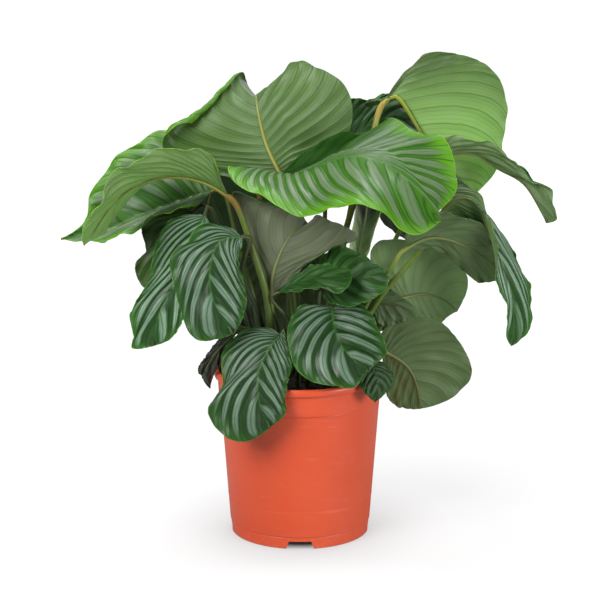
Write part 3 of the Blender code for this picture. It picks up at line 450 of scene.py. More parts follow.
def smooth_curve(points, count=200):
    """A natural cubic through the points, read at even steps of its length."""
    points = np.asarray(points, float)
    chords = np.linalg.norm(np.diff(points, axis=0), axis=1)
    knots = np.concatenate([[0.0], np.cumsum(np.sqrt(chords))])
    spans = np.diff(knots)
    last = len(points) - 1
    system = np.eye(last + 1)
    bends = np.zeros_like(points)
    for i in range(1, last):
        system[i, i - 1:i + 2] = spans[i - 1], 2 * (spans[i - 1] + spans[i]), spans[i]
        rise = (points[i + 1] - points[i]) / spans[i] - (points[i] - points[i - 1]) / spans[i - 1]
        bends[i] = 6 * rise
    bends = np.linalg.solve(system, bends)
    place = np.linspace(0.0, knots[-1], CURVE_STEPS)
    span = np.clip(np.searchsorted(knots, place, side="right") - 1, 0, last - 1)
    gone = (place - knots[span])[:, None]
    width = spans[span][:, None]
    fine = (bends[span] * (width - gone) ** 3 + bends[span + 1] * gone ** 3) / (6 * width)
    fine += (points[span] / width - bends[span] * width / 6) * (width - gone)
    fine += (points[span + 1] / width - bends[span + 1] * width / 6) * gone
    run = run_along(fine)
    even = np.linspace(0.0, run[-1], count)
    return np.stack([np.interp(even, run, fine[:, axis]) for axis in range(3)], axis=1)


def read_curve(curve, share):
    """Points of a curve at shares of its length from 0 to 1."""
    place = np.clip(share, 0.0, 1.0) * (len(curve) - 1)
    step = np.clip(np.floor(place).astype(int), 0, len(curve) - 2)
    rest = (place - step)[..., None]
    return curve[step] * (1 - rest) + curve[step + 1] * rest


print("crown's midrib", round(polyline_length(smooth_curve(LEAVES[0].rib))), "mm")

# %% [markdown]
# Leaf blades are curved by growth, and no bend or lattice gives a shape that follows a measured
# midrib and margin. So the two halves are worked out row by row: each vein leaves the midrib, arches
# over and ends on the margin. The same rule made the CAD sheet, only coarser. Where a margin is
# rolled over, the outer strip of every vein is wound on a circle. Slow waves then lift the margin.

# %% Half blades
VEIN_SWEEP = 1.7
ARCH_SIDEWAYS = 0.5
ARCH_FORWARD = 0.3
FULL_SIZE = 140.0
WAVE_SHIFT = 0.37
SMALL_WAVE = 0.45
SMALL_WAVE_RATE = 2.3
SMALL_WAVE_SHIFT = 0.54
WAVE_EASE = 5
NO_BEND = 1e-5


def leaf_size(midrib):
    """1 for a leaf of full size, and less for a shorter one, whose waves are lower."""
    return min(1.0, polyline_length(midrib) / FULL_SIZE)


def roll_over(blade, curl, along, far, width, vein, over):
    """The margin past the curl's start, wound on a circle towards the underside."""
    degrees = np.interp(along, np.linspace(0, 1, len(curl.degrees)), curl.degrees)[..., None]
    strip = (1 - curl.start) * width
    run = np.clip((far - curl.start) / (1 - curl.start), 0, 1) * strip
    bend = np.radians(degrees) / np.maximum(strip, 1e-6)
    bend = np.where(np.abs(bend) < NO_BEND, NO_BEND, bend)
    return blade + vein * (np.sin(bend * run) / bend - run) - over * (1 - np.cos(bend * run)) / bend


def margin_waves(leaf, right, along, out):
    """Slow waves of the margin with smaller ones on them, calm at base and tip."""
    shift = WAVE_SHIFT if right else 0.0
    calm = np.clip(along * WAVE_EASE, 0, 1) * np.clip((1 - along) * WAVE_EASE, 0, 1)
    ripple = out ** 2.5 * np.sin(math.tau * (leaf.wave[1] * along + shift))
    small = math.tau * (SMALL_WAVE_RATE * leaf.wave[1] * along + SMALL_WAVE_SHIFT * shift)
    return calm * (ripple + SMALL_WAVE * out ** 4 * np.sin(small))


def half_blade(leaf, side, along, out):
    """Points of one half, where along counts the veins from base to tip and out runs along a vein."""
    right = side == "right"
    rib = smooth_curve(leaf.rib)
    margin = smooth_curve([leaf.rib[0], *(leaf.right if right else leaf.left), leaf.rib[-1]])
    heading = unit(np.gradient(rib, axis=0))
    start = read_curve(rib, along ** VEIN_SWEEP)
    end = read_curve(margin, along)
    ahead = unit(read_curve(heading, along ** VEIN_SWEEP))
    reach = end - start
    forward = (reach * ahead).sum(axis=-1, keepdims=True)
    sideways = reach - forward * ahead
    upper = unit(np.cross(sideways, ahead) if right else np.cross(ahead, sideways))
    width = np.linalg.norm(reach, axis=-1, keepdims=True)
    bulge = leaf.camber[1 if right else 0]
    arch = start + ARCH_SIDEWAYS * sideways + ARCH_FORWARD * forward * ahead + bulge * width * upper
    far = out[..., None]
    blade = (1 - far) ** 2 * start + 2 * far * (1 - far) * arch + far ** 2 * end
    if leaf.curl is not None and leaf.curl.side == side:
        vein = unit(2 * (1 - far) * (arch - start) + 2 * far * (end - arch))
        over = unit(np.cross(vein, ahead) if right else np.cross(ahead, vein))
        blade = roll_over(blade, leaf.curl, along, far, width, vein, over)
    lift = leaf.wave[0] * leaf_size(rib) * margin_waves(leaf, right, along, out)
    return blade + upper * lift[..., None]


print("curled leaves", sum(leaf.curl is not None for leaf in LEAVES))

# %% [markdown]
# Blades and stalks both start as a flat grid, added as by hand. Its points come in rows, so a shape
# that is worked out in rows can be laid on it, and so can a number for each point, such as its tone,
# which a material then reads as an attribute. The other helpers take up the steps that every mesh
# here needs in edit mode, and the joining of pieces.

# %% Meshes
MERGE_DISTANCE = 0.00001


def points_of(piece):
    flat = np.empty(len(piece.data.vertices) * 3)
    piece.data.vertices.foreach_get("co", flat)
    return flat.reshape(-1, 3)


def set_points(piece, points):
    piece.data.vertices.foreach_set("co", np.asarray(points, np.float32).ravel())
    piece.data.update()


def apply_all(piece):
    deselect_all()
    piece.select_set(True)
    bpy.context.view_layer.objects.active = piece
    for step in list(piece.modifiers):
        bpy.ops.object.modifier_apply(modifier=step.name)


def edit_all(*steps):
    """Takes steps in edit mode on the whole mesh, and then turns all its faces outward."""
    bpy.ops.object.mode_set(mode="EDIT")
    for step in (*steps, partial(bpy.ops.mesh.normals_make_consistent, inside=False)):
        bpy.ops.mesh.select_all(action="SELECT")
        step()
    bpy.ops.object.mode_set(mode="OBJECT")


def join_all(pieces):
    """Joins the pieces into the first one."""
    deselect_all()
    for piece in pieces:
        piece.select_set(True)
    bpy.context.view_layer.objects.active = pieces[0]
    bpy.ops.object.join()
    return pieces[0]


def flat_grid(name, columns, rows):
    """A flat grid over x and y from -1 to 1, the order of its points, and the points row by row."""
    deselect_all()
    bpy.ops.mesh.primitive_grid_add(x_subdivisions=columns, y_subdivisions=rows, size=2.0)
    piece = bpy.context.object
    piece.name = piece.data.name = name
    flat = points_of(piece)
    order = np.lexsort((flat[:, 0].round(5), flat[:, 1].round(5)))
    return piece, order, flat[order].reshape(rows + 1, columns + 1, 3)


def lay_out(piece, order, points):
    """Gives a flat grid its shape, from rows of points in millimetres."""
    placed = np.empty((len(order), 3))
    placed[order] = points.reshape(-1, 3)
    set_points(piece, placed * MM)


def mark(piece, name, values, order=slice(None)):
    """A named number on every point, for the materials to read."""
    marks = np.empty(len(piece.data.vertices))
    marks[order] = np.ravel(values)
    layer = piece.data.attributes.new(name, "FLOAT", "POINT")
    layer.data.foreach_set("value", marks.astype(np.float32))


print("meshes before the first leaf", len(bpy.data.meshes))

# %% [markdown]
# A margin is never quite smooth. Uneven little waves lift it and notch it, and slow swells run over
# the whole blade, so that no two leaves catch the light alike. The draws are seeded, so every run
# grows the same plant.

# %% Crinkles and swells
CRINKLE_WAVES = ((7.0, 0.5), (12.0, 0.35), (21.0, 0.25))
CRINKLE_LIFT = 1.0
CRINKLE_NOTCH = 1.2
CRINKLE_SWAY = 0.35
SWAY_RATE = 2.3
BASE_EASE, TIP_EASE = 8, 12
UNDULATION = 0.9
crinkle_rng = np.random.default_rng(11)


def crinkle(vein, out, sheet, upward):
    """Small uneven waves of the margin: up and down, and a little in from its smooth line."""
    lift, notch = np.zeros(vein.shape), np.zeros(vein.shape)
    for waves, share in CRINKLE_WAVES:
        start = crinkle_rng.random(4)
        sway = CRINKLE_SWAY * np.sin(math.tau * (SWAY_RATE * vein + start[0]))
        lift = lift + share * np.sin(math.tau * (waves * vein + sway + start[1]))
        notch = notch + share * (1 + np.sin(math.tau * (waves * vein + sway + start[2]))) / 2
    calm = np.clip(vein * BASE_EASE, 0, 1) * np.clip((1 - vein) * TIP_EASE, 0, 1)
    on_left = np.arange(vein.shape[1]) < vein.shape[1] // 2
    inward = unit(np.gradient(sheet, axis=1)) * np.where(on_left, 1, -1)[:, None]
    move = upward * (CRINKLE_LIFT * lift * out ** 8)[..., None]
    return (move + inward * (CRINKLE_NOTCH * notch * out ** 12)[..., None]) * calm[..., None]


def rolling(vein, across):
    """Slow swells of the whole blade, which no two leaves share."""
    start = crinkle_rng.random(3)
    swell = np.sin(math.tau * (1.9 * vein + 0.8 * across + start[0]))
    swell = swell * np.sin(math.tau * (1.1 * across + start[1]))
    swell = swell + 0.6 * np.sin(math.tau * (3.7 * vein - 1.6 * across + start[2]))
    return UNDULATION * swell * np.clip(vein * (1 - vein) * 6, 0, 1) * np.clip(np.abs(across) * 4, 0, 1)


print("crinkles", len(CRINKLE_WAVES), "kinds")

# %% [markdown]
# Along each vein a calathea blade is pleated: the silver band between two veins stands up a little,
# and the vein itself lies in the valley. The pleats are real geometry here, so they catch the light
# from every side. They are as high as their spacing allows, and die out at midrib and margin.

# %% Blades
BLADE_THICKNESS = 0.8
HALF_COLUMNS = 26
CURLED_HALF_COLUMNS = 42
COLUMN_CROWDING = 1.4
ROWS_PER_BAND = 9
MIN_ROWS = 72
BLADE_END = 0.004
TIP_END = 0.0008
VEIN_LATE = 2.6
LEAVE_RIB = 0.28
VEIN_HOOK = 0.35
RIGHT_SHIFT = 0.35
SECOND_RIDGE = 0.22
WIDEST_PLEAT = 16
FOLD_EASE = 9
FOLD_FLATTER = 0.6
DARKEST = 0.9


def vein_place(vein, out, sweeps, on_left):
    """How far along the blade's own rows a vein has come: it leaves the midrib at a narrow angle,
    at a place that both halves share, and hooks towards the tip at the margin."""
    own = np.where(on_left, *sweeps)
    sweep = own + (max(sweeps) - own) * np.clip(1 - out / LEAVE_RIB, 0, 1)
    start = vein ** ((sweep + VEIN_LATE * vein ** 6) / VEIN_SWEEP)
    hook = 1 - np.sqrt(np.clip(1 - out, 0, 1))
    return start + (vein - start) * ((1 - VEIN_HOOK) * out + VEIN_HOOK * hook)


def vein_spacing(leaf, sheet):
    """How far the veins lie apart at every point of the sheet, in millimetres."""
    down, aside = np.gradient(sheet, axis=0), unit(np.gradient(sheet, axis=1))
    return np.linalg.norm(np.cross(down, aside), axis=-1) * (len(sheet) - 1) / leaf.bands


def pleats(leaf, spacing, across, vein, fold):
    """How deep every point lies under the smooth sheet: deep at a vein, less than nothing between."""
    count = leaf.bands * vein + RIGHT_SHIFT * (across > 0)
    swell = np.sin(math.pi * np.clip(np.abs(across), 0, 1) ** 0.8) ** 0.6
    ridge = np.cos(math.tau * count) + SECOND_RIDGE * np.cos(2 * math.tau * count)
    depth = leaf.pleat * (1 - FOLD_FLATTER * fold) * np.clip(spacing, 0, WIDEST_PLEAT)
    return depth * swell * ridge


def grow_blade(leaf):
    """The blade as a thin closed sheet, and its midrib's upward directions for the stalk."""
    half = HALF_COLUMNS if leaf.curl is None else CURLED_HALF_COLUMNS
    rows = max(MIN_ROWS, ROWS_PER_BAND * leaf.bands)
    piece, order, grid = flat_grid(leaf.name + "_blade", 2 * half, rows)
    across = np.sign(grid[..., 0]) * (1 - (1 - np.abs(grid[..., 0])) ** COLUMN_CROWDING)
    vein = BLADE_END + (grid[..., 1] + 1) / 2 * (1 - BLADE_END - TIP_END)
    out = np.abs(across)
    along = vein_place(vein, out, leaf.sweep, across < 0)
    sheet = np.where((across < 0)[..., None],
                     half_blade(leaf, "left", along, out), half_blade(leaf, "right", along, out))
    upward = unit(np.cross(np.gradient(sheet, axis=1), np.gradient(sheet, axis=0)))
    spacing = vein_spacing(leaf, sheet)
    if leaf.wave[0] > 0:
        crinkled = sheet + crinkle(vein, out, sheet, upward)
        swells = leaf_size(leaf.rib) * rolling(vein, across)
        sheet = crinkled + upward * swells[..., None]
    # The fold marks the left base that stands out of the light; it is painted dark as shade, and its pleats
    # are flatter.
    fold = np.clip((leaf.fold - vein) * FOLD_EASE, 0, 1) * (across < 0) * (leaf.fold > 0)
    sheet = sheet - upward * pleats(leaf, spacing, across, vein, fold)[..., None]
    lay_out(piece, order, sheet)
    mark(piece, "bands", leaf.bands)
    # The tone is partly the leaf's own and partly painted shade and painted light.
    tone = np.minimum(leaf.tone[0] + (leaf.tone[1] - leaf.tone[0]) * vein ** 3, DARKEST)
    mark(piece, "tone", tone, order)
    mark(piece, "fold", fold, order)
    skin = piece.modifiers.new("thickness", "SOLIDIFY")
    skin.thickness = BLADE_THICKNESS * MM
    skin.offset = 0.0
    skin.material_offset = 1
    skin.material_offset_rim = 0
    return piece, along[:, half], upward[:, half]


print("rows of the crown", ROWS_PER_BAND * LEAVES[0].bands)

# %% [markdown]
# The stalk is round and runs on under the blade as the midrib, tapering to the tip. Near the soil
# it is clasped by a wider sheath, and just under the blade it has the short thick joint with which
# this kind of plant turns its leaves to the light. One grid is rolled round a line to make it all.

# %% The stalk's line
SOIL_HEIGHT = 190.0
SOIL_CROWN = 4.0
STALK_DEPTH = 25.0
STRAIGHT_RISE = 10.0
UPRIGHT_UNTIL = 30.0
RING_SPACING = 7.0
MIN_RINGS = 16
STEM_STEPS = 400
UNDER_BASE = 12
JOINT_LENGTH = 24.0
JOINT_EASE = 5.0
JOINT_ON_RIB = 10.0
JOINT_BULGE = 0.10
SHEATH_SHARE = 0.42
SHEATH_WIDER = 0.7
SHEATH_FLATTER = 0.1
RIB_RINGS = 26
RIB_FROM = 4.0
RIB_TO = 0.975
RIB_GIRTH = 0.75
RIB_TAPER = 0.75
RIB_THINNEST = 0.35
RIB_SUNK = 0.62
RIB_FLATNESS = 0.6


def midrib_line(leaf, along, upward):
    """The midrib under the blade: its line, radius, upward directions and way from the base."""
    rib = smooth_curve(leaf.rib)
    length = polyline_length(rib)
    share = np.linspace(RIB_FROM / length, RIB_TO, RIB_RINGS)
    place = along ** VEIN_SWEEP
    up = unit(np.stack([np.interp(share, place, upward[:, axis]) for axis in range(3)], axis=1))
    radius = leaf.girth[1] * RIB_GIRTH * (1 - share) ** RIB_TAPER + RIB_THINNEST
    return read_curve(rib, share) - up * (radius * RIB_SUNK)[:, None], radius, up, share * length


def stem_line(leaf, under_rib, rib_up):
    """The stalk from deep in the soil to the blade. It is upright where it leaves the soil."""
    rib = smooth_curve(leaf.rib)
    ahead = unit(rib[6] - rib[0])
    foot = np.array([*leaf.foot, SOIL_HEIGHT])
    route = [foot - (0, 0, STALK_DEPTH), foot + (0, 0, STRAIGHT_RISE), *np.array(leaf.stalk, float)]
    route += [rib[0] - UNDER_BASE * ahead - rib_up[0] * leaf.girth[1] * 0.5, under_rib[0]]
    rings = max(MIN_RINGS, round(polyline_length(route) / RING_SPACING))
    stem = smooth_curve(route + [under_rib[3], under_rib[6]], STEM_STEPS)
    end = np.argmin(np.linalg.norm(stem - under_rib[0], axis=1))
    stem = read_curve(stem[:end + 1], np.linspace(0, 1, rings))[:-1]
    rise = np.clip((stem[:, 2:] - SOIL_HEIGHT - SOIL_CROWN) / UPRIGHT_UNTIL, 0.0, 1.0)
    stem[:, :2] = leaf.foot + (stem[:, :2] - leaf.foot) * rise * rise * (3 - 2 * rise)
    return stem


def stalk_line(leaf, along, upward):
    """The line of stalk and midrib, its half widths and heights, and its joint share."""
    under_rib, rib_radius, rib_up, rib_run = midrib_line(leaf, along, upward)
    stem = stem_line(leaf, under_rib, rib_up)
    to_blade = polyline_length(stem) - run_along(stem)
    reach = 1 - to_blade / to_blade[0]
    joint = np.clip((JOINT_LENGTH - to_blade) / JOINT_EASE, 0, 1)
    sheath = np.clip((SHEATH_SHARE - reach) / SHEATH_SHARE, 0, 1) ** 0.6
    radius = leaf.girth[0] + (leaf.girth[1] - leaf.girth[0]) * reach
    bulge = np.sin(math.pi * np.clip(to_blade / JOINT_LENGTH, 0, 1)) ** 0.5
    radius = radius * (1 + JOINT_BULGE * joint * bulge)
    line = np.concatenate([stem, under_rib])
    widths = np.concatenate([radius * (1 + SHEATH_WIDER * sheath), rib_radius])
    heights = np.concatenate([radius * (1 - SHEATH_FLATTER * sheath), rib_radius * RIB_FLATNESS])
    joint = np.concatenate([joint, np.clip(1 - rib_run / JOINT_ON_RIB, 0, 1)])
    return line, widths, heights, rib_up, joint


print("stalk depth", STALK_DEPTH, "mm")

# %% [markdown]
# The tube itself: every ring's upward direction is carried down from the midrib, so that the stalk
# doesn't twist. The grid's two long edges meet and are merged, and its open ends are filled.

# %% Stalks
STALK_SIDES = 14
MIDRIB_FADE = (2.6, 0.2)


def upward_along(line, rib_up):
    """The midrib's upward directions, carried down the stalk and square to it, and its headings."""
    heading = unit(np.gradient(line, axis=0))
    up = np.empty_like(line)
    stem_rings = len(line) - len(rib_up)
    up[stem_rings:] = rib_up
    for ring in range(stem_rings - 1, -1, -1):
        up[ring] = up[ring + 1]
        up[ring] -= heading[ring] * (up[ring] @ heading[ring])
        up[ring] /= np.linalg.norm(up[ring])
    return up, heading


def grow_stalk(leaf, along, upward):
    line, widths, heights, rib_up, joint = stalk_line(leaf, along, upward)
    up, heading = upward_along(line, rib_up)
    side = unit(np.cross(heading, up))
    up = np.cross(side, heading)
    rings = len(line) - 1
    piece, order, grid = flat_grid(leaf.name + "_stalk", STALK_SIDES, rings)
    angle = grid[..., :1] * math.pi
    tube = line[:, None] + side[:, None] * (widths[:, None, None] * np.cos(angle))
    tube = tube + up[:, None] * (heights[:, None, None] * np.sin(angle))
    tube[:, -1] = tube[:, 0]
    lay_out(piece, order, tube)
    on_stem = np.arange(rings + 1) < len(line) - len(rib_up)
    midrib = np.where(on_stem, 0.0, np.linspace(*MIDRIB_FADE, rings + 1).clip(0, 1))
    mark(piece, "joint", np.repeat(joint, STALK_SIDES + 1), order)
    mark(piece, "midrib", np.repeat(midrib, STALK_SIDES + 1), order)
    edit_all(partial(bpy.ops.mesh.remove_doubles, threshold=MERGE_DISTANCE),
             partial(bpy.ops.mesh.fill_holes, sides=0))
    return piece


print("stalk sides", STALK_SIDES)

# %% [markdown]
# The stripes follow the veins, so they are painted in the blade's own map: its first number runs
# from the left margin over the midrib to the right one, and its second from base to tip. Noise in
# space adds the clouds and grains that no two places share. These helpers take up what repeats.

# %% Paint helpers
SCATTER_DEPTH = 0.003
LEAF_SCATTER = (0.5, 1.0, 0.15)
BUMP_HEIGHT = 0.0002


def blend_colour(tree, share, first, second):
    made = node(tree, "ShaderNodeMix", {0: share}, data_type="RGBA")
    for place, colour in ((6, first), (7, second)):
        if isinstance(colour, bpy.types.NodeSocket):
            tree.links.new(colour, made.inputs[place])
        else:
            made.inputs[place].default_value = (*colour, 1.0)
    return made.outputs[2]


def painted_over(tree, colour, layers):
    """A colour with others laid over it, each as strongly as its share says."""
    for share, over in layers:
        colour = blend_colour(tree, share, colour, over)
    return colour


def noise_at(tree, place, scale, detail):
    return node(tree, "ShaderNodeTexNoise", {"Vector": place, "Scale": scale, "Detail": detail}).outputs[0]


def attribute(tree, name):
    return node(tree, "ShaderNodeAttribute", attribute_name=name).outputs["Fac"]


def finish_surface(tree, shader, colour, rough, height, distance=BUMP_HEIGHT, strength=0.8):
    """Gives a shader its colour, its roughness and its small bumps."""
    bump = node(tree, "ShaderNodeBump", {"Height": height, "Distance": distance, "Strength": strength})
    tree.links.new(colour, shader.inputs["Base Color"])
    tree.links.new(rough, shader.inputs["Roughness"])
    tree.links.new(bump.outputs[0], shader.inputs["Normal"])


def let_light_in(shader, weight, depth=SCATTER_DEPTH, radius=None):
    shader.inputs["Subsurface Weight"].default_value = weight
    shader.inputs["Subsurface Scale"].default_value = depth
    if radius is not None:
        shader.inputs["Subsurface Radius"].default_value = radius


print("scatter depth", SCATTER_DEPTH / MM, "mm")

# %% [markdown]
# One node group finds the silver band, the vein, the fine veins beside it, the midrib and the pale
# edge from the map. It counts the bands from base to tip as the pleats do, so stripes and pleats
# fall together. Every leaf material paints what it finds in its own colours.

# %% Shared shader group
FLOAT, VECTOR = "NodeSocketFloat", "NodeSocketVector"
FOUND = ("Silver", "Vein", "Fine", "Rib", "Edge", "Line", "Out", "Mottle", "Tip")
SILVER_SOFT = 0.16

bands_tree = bpy.data.node_groups.new("leaf bands", "ShaderNodeTree")
for label, kind in (("Map", VECTOR), ("Bands", FLOAT), ("Place", VECTOR)):
    bands_tree.interface.new_socket(name=label, in_out="INPUT", socket_type=kind)
for label in FOUND:
    bands_tree.interface.new_socket(name=label, in_out="OUTPUT", socket_type=FLOAT)
given = bands_tree.nodes.new("NodeGroupInput").outputs
result = bands_tree.nodes.new("NodeGroupOutput").inputs
maths, fade = partial(math_node, bands_tree), partial(ramp, bands_tree)

apart = node(bands_tree, "ShaderNodeSeparateXYZ", {0: given["Map"]}).outputs
across = maths("MULTIPLY_ADD", apart[0], 2.0, -1.0)
near_rim = maths("SUBTRACT", 1.0, maths("ABSOLUTE", across))
out = maths("SUBTRACT", 1.0, maths("POWER", near_rim, COLUMN_CROWDING))
on_right = maths("GREATER_THAN", across, 0.0)
cloud = noise_at(bands_tree, given["Place"], 45.0, 3.0)
wobble = maths("MULTIPLY_ADD", cloud, 0.16, -0.08)
count = maths("MULTIPLY_ADD", apart[1], given["Bands"], wobble)
count = maths("MULTIPLY_ADD", on_right, RIGHT_SHIFT, count)
from_crest = maths("ABSOLUTE", maths("MULTIPLY_ADD", maths("FRACT", count), 2.0, -1.0))
quarter = maths("FRACT", maths("MULTIPLY", count, 4.0))
quarter = maths("ABSOLUTE", maths("MULTIPLY_ADD", quarter, 2.0, -1.0))

# Every band has its own chance, which makes it wider and lets it narrow sooner near the margin.
band_number = maths("FLOOR", maths("MULTIPLY_ADD", on_right, 40.0, count))
chance = node(bands_tree, "ShaderNodeTexWhiteNoise", {"W": band_number}, noise_dimensions="1D").outputs[0]
narrowing = fade(maths("MULTIPLY_ADD", chance, 0.10, out), 0.74, 1.10, 0.0, 0.55)
half_width = maths("SUBTRACT", fade(out, -0.05, 0.35, 0.02, 0.42), narrowing)
half_width = maths("MULTIPLY_ADD", chance, 0.16, half_width)
to_edge = maths("SUBTRACT", half_width, from_crest)
silver = fade(to_edge, -SILVER_SOFT, 0.20)
for weaker in (fade(out, 0.99, 0.72, 0.45, 1.0), fade(apart[1], 0.01, 0.06), fade(apart[1], 0.995, 0.95)):
    silver = maths("MULTIPLY", silver, weaker)
beside_silver = maths("ABSOLUTE", maths("ADD", to_edge, SILVER_SOFT))
rib_strength = fade(apart[1], 0.8, 0.3, 0.35, 1.0)
found_here = {
    "Silver": silver,
    "Vein": fade(from_crest, 0.86, 0.99),
    "Fine": fade(quarter, 0.55, 1.0),
    "Line": fade(beside_silver, 0.12, 0.02),
    "Rib": maths("MULTIPLY", fade(out, 0.045, 0.015), rib_strength),
    "Edge": fade(out, 0.985, 0.997),
    "Out": out,
    "Mottle": cloud,
    "Tip": fade(apart[1], 0.994, 0.9995, 0.0, 0.7),
}
for label, socket in found_here.items():
    bands_tree.links.new(socket, result[label])
print("group", bands_tree.name, len(bands_tree.nodes), "nodes")

# %% [markdown]
# Above, a leaf is waxed and shines; below it is matt and lighter. Young blades let some light
# through, so the faces also have a little scattering under the surface. The leaves high in the crown
# get the bright colours, and the lower ones darker greens with bluer silver.

# %% Leaf materials
UPPER_COLOURS = {
    "bright": dict(green=(0.088, 0.27, 0.008), deep=(0.027, 0.112, 0.004), line=(0.009, 0.045, 0.002),
                   silver=(0.120, 0.168, 0.100), edge=(0.17, 0.38, 0.025), rib=(0.07, 0.20, 0.02),
                   rough=0.29),
    "dark": dict(green=(0.018, 0.080, 0.006), deep=(0.008, 0.038, 0.005), line=(0.004, 0.021, 0.002),
                 silver=(0.138, 0.220, 0.150), edge=(0.07, 0.20, 0.03), rib=(0.06, 0.19, 0.02),
                 rough=0.28),
    "plain": dict(green=(0.022, 0.100, 0.006), deep=(0.012, 0.060, 0.004), line=(0.004, 0.024, 0.002),
                  silver=(0.034, 0.110, 0.024), edge=(0.07, 0.20, 0.03), rib=(0.05, 0.17, 0.02),
                  rough=0.38),
    "young": dict(green=(0.20, 0.30, 0.12), deep=(0.14, 0.22, 0.08), line=(0.14, 0.22, 0.08),
                  silver=(0.27, 0.36, 0.19), edge=(0.32, 0.40, 0.18), rib=(0.24, 0.32, 0.12),
                  rough=0.4),
}
UNDER_COLOURS = {
    "light": dict(green=(0.094, 0.178, 0.038), band=(0.110, 0.205, 0.046), vein=(0.052, 0.115, 0.018)),
    "fresh": dict(green=(0.050, 0.120, 0.013), band=(0.076, 0.158, 0.025), vein=(0.024, 0.070, 0.006)),
    "sage": dict(green=(0.115, 0.205, 0.050), band=(0.135, 0.24, 0.062), vein=(0.062, 0.130, 0.026)),
    "olive": dict(green=(0.084, 0.142, 0.046), band=(0.098, 0.162, 0.056), vein=(0.070, 0.121, 0.037)),
    "grey": dict(green=(0.104, 0.125, 0.064), band=(0.124, 0.146, 0.078), vein=(0.082, 0.098, 0.054)),
    # The shaded undersides are painted shade: the backs of the rear leaves, seen only deep in the plant's
    # heart.
    "shaded": dict(green=(0.014, 0.042, 0.003), band=(0.019, 0.052, 0.005), vein=(0.007, 0.024, 0.002)),
    # A withered underside, darkened further as painted shade for the gap it fills.
    "withered_and_shaded": dict(green=(0.030, 0.034, 0.026), band=(0.055, 0.060, 0.050), vein=(0.008, 0.010, 0.007)),
    "young": dict(green=(0.26, 0.31, 0.19), band=(0.30, 0.35, 0.22), vein=(0.20, 0.25, 0.14)),
}
WAX_GLOSS, FOLD_SHADE_GLOSS = 0.38, 0.12
UPPER_SCATTER, UNDER_SCATTER = 0.12, 0.2
GLOW_THROUGH = {"light": 0.4, "sage": 0.45, "young": 0.4}
DRY_TIP = (0.12, 0.075, 0.025)
# The tone may paint the upper side at most this much lighter, as painted light.
LIGHTEST_UPPER = -0.8


def leaf_surface(name):
    """A leaf's material, its tree and shader, what the group finds in its map, and its places."""
    surface, tree, shader = new_surface(name)
    place = node(tree, "ShaderNodeTexCoord").outputs["Object"]
    found = tree.nodes.new("ShaderNodeGroup")
    found.node_tree = bands_tree
    leaf_map = node(tree, "ShaderNodeUVMap", uv_map="UVMap").outputs[0]
    for label, socket in (("Map", leaf_map), ("Bands", attribute(tree, "bands")), ("Place", place)):
        tree.links.new(socket, found.inputs[label])
    return surface, tree, shader, found.outputs, place


def tone_and_painted_light(tree, colour, tip, under=False):
    """The leaf's tone over its colour, partly its own and partly painted shade and light, and the dry brown
    point at its tip.
    """
    tone = attribute(tree, "tone")
    darker = tone if under else math_node(tree, "MAXIMUM", tone, LIGHTEST_UPPER)
    share = math_node(tree, "SUBTRACT", 1.0, darker)
    scaled = node(tree, "ShaderNodeVectorMath", {0: colour, "Scale": share}, operation="SCALE").outputs[0]
    return blend_colour(tree, tip, scaled, DRY_TIP)


def upper_material(tone, name="upper side", gloss=WAX_GLOSS):
    surface, tree, shader, found, place = leaf_surface(tone + " " + name)
    maths, fade, paint = partial(math_node, tree), partial(ramp, tree), UPPER_COLOURS[tone]
    # The fold is painted shade: its bright margin and silver fade, it blends to the darkest green and
    # shines less.
    fold = attribute(tree, "fold")
    broad = noise_at(tree, place, 14.0, 2.0)
    toward_edge = maths("ADD", fade(found["Out"], 0.70, 1.0, 0.0, 0.85), fade(broad, 0.3, 0.75, 0.0, 0.3))
    toward_edge = maths("MULTIPLY", toward_edge, fade(fold, 0.0, 1.0, 1.0, 0.3))
    silver = maths("MULTIPLY", found["Silver"], maths("MULTIPLY_ADD", found["Fine"], -0.7, 1.0))
    silver = maths("MULTIPLY", silver, fade(found["Mottle"], 0.25, 0.75, 0.7, 1.0))
    silver = maths("MULTIPLY", silver, fade(fold, 0.0, 1.0, 1.0, 0.06))
    colour = painted_over(tree, blend_colour(tree, toward_edge, paint["deep"], paint["green"]), [
        (maths("MULTIPLY", found["Line"], fade(found["Out"], 1.0, 0.7, 0.1, 0.7)), paint["line"]),
        (silver, paint["silver"]),
        (maths("MULTIPLY", found["Vein"], 0.7), paint["line"]),
        (maths("MULTIPLY", found["Rib"], 0.8), paint["rib"]),
        (found["Edge"], paint["edge"]),
        (maths("MULTIPLY", fold, 0.9), paint["line"])])
    rough = maths("MULTIPLY_ADD", found["Mottle"], 0.22, paint["rough"])
    rough = maths("MULTIPLY_ADD", fold, 0.35, rough)
    grain = noise_at(tree, place, 900.0, 1.0)
    height = maths("MULTIPLY_ADD", found["Fine"], -0.6, maths("MULTIPLY", grain, 0.25))
    height = maths("MULTIPLY_ADD", found["Vein"], -0.8, height)
    finish_surface(tree, shader, tone_and_painted_light(tree, colour, found["Tip"]), rough, height)
    shader.inputs["Specular IOR Level"].default_value = gloss
    let_light_in(shader, UPPER_SCATTER, radius=LEAF_SCATTER)
    return surface


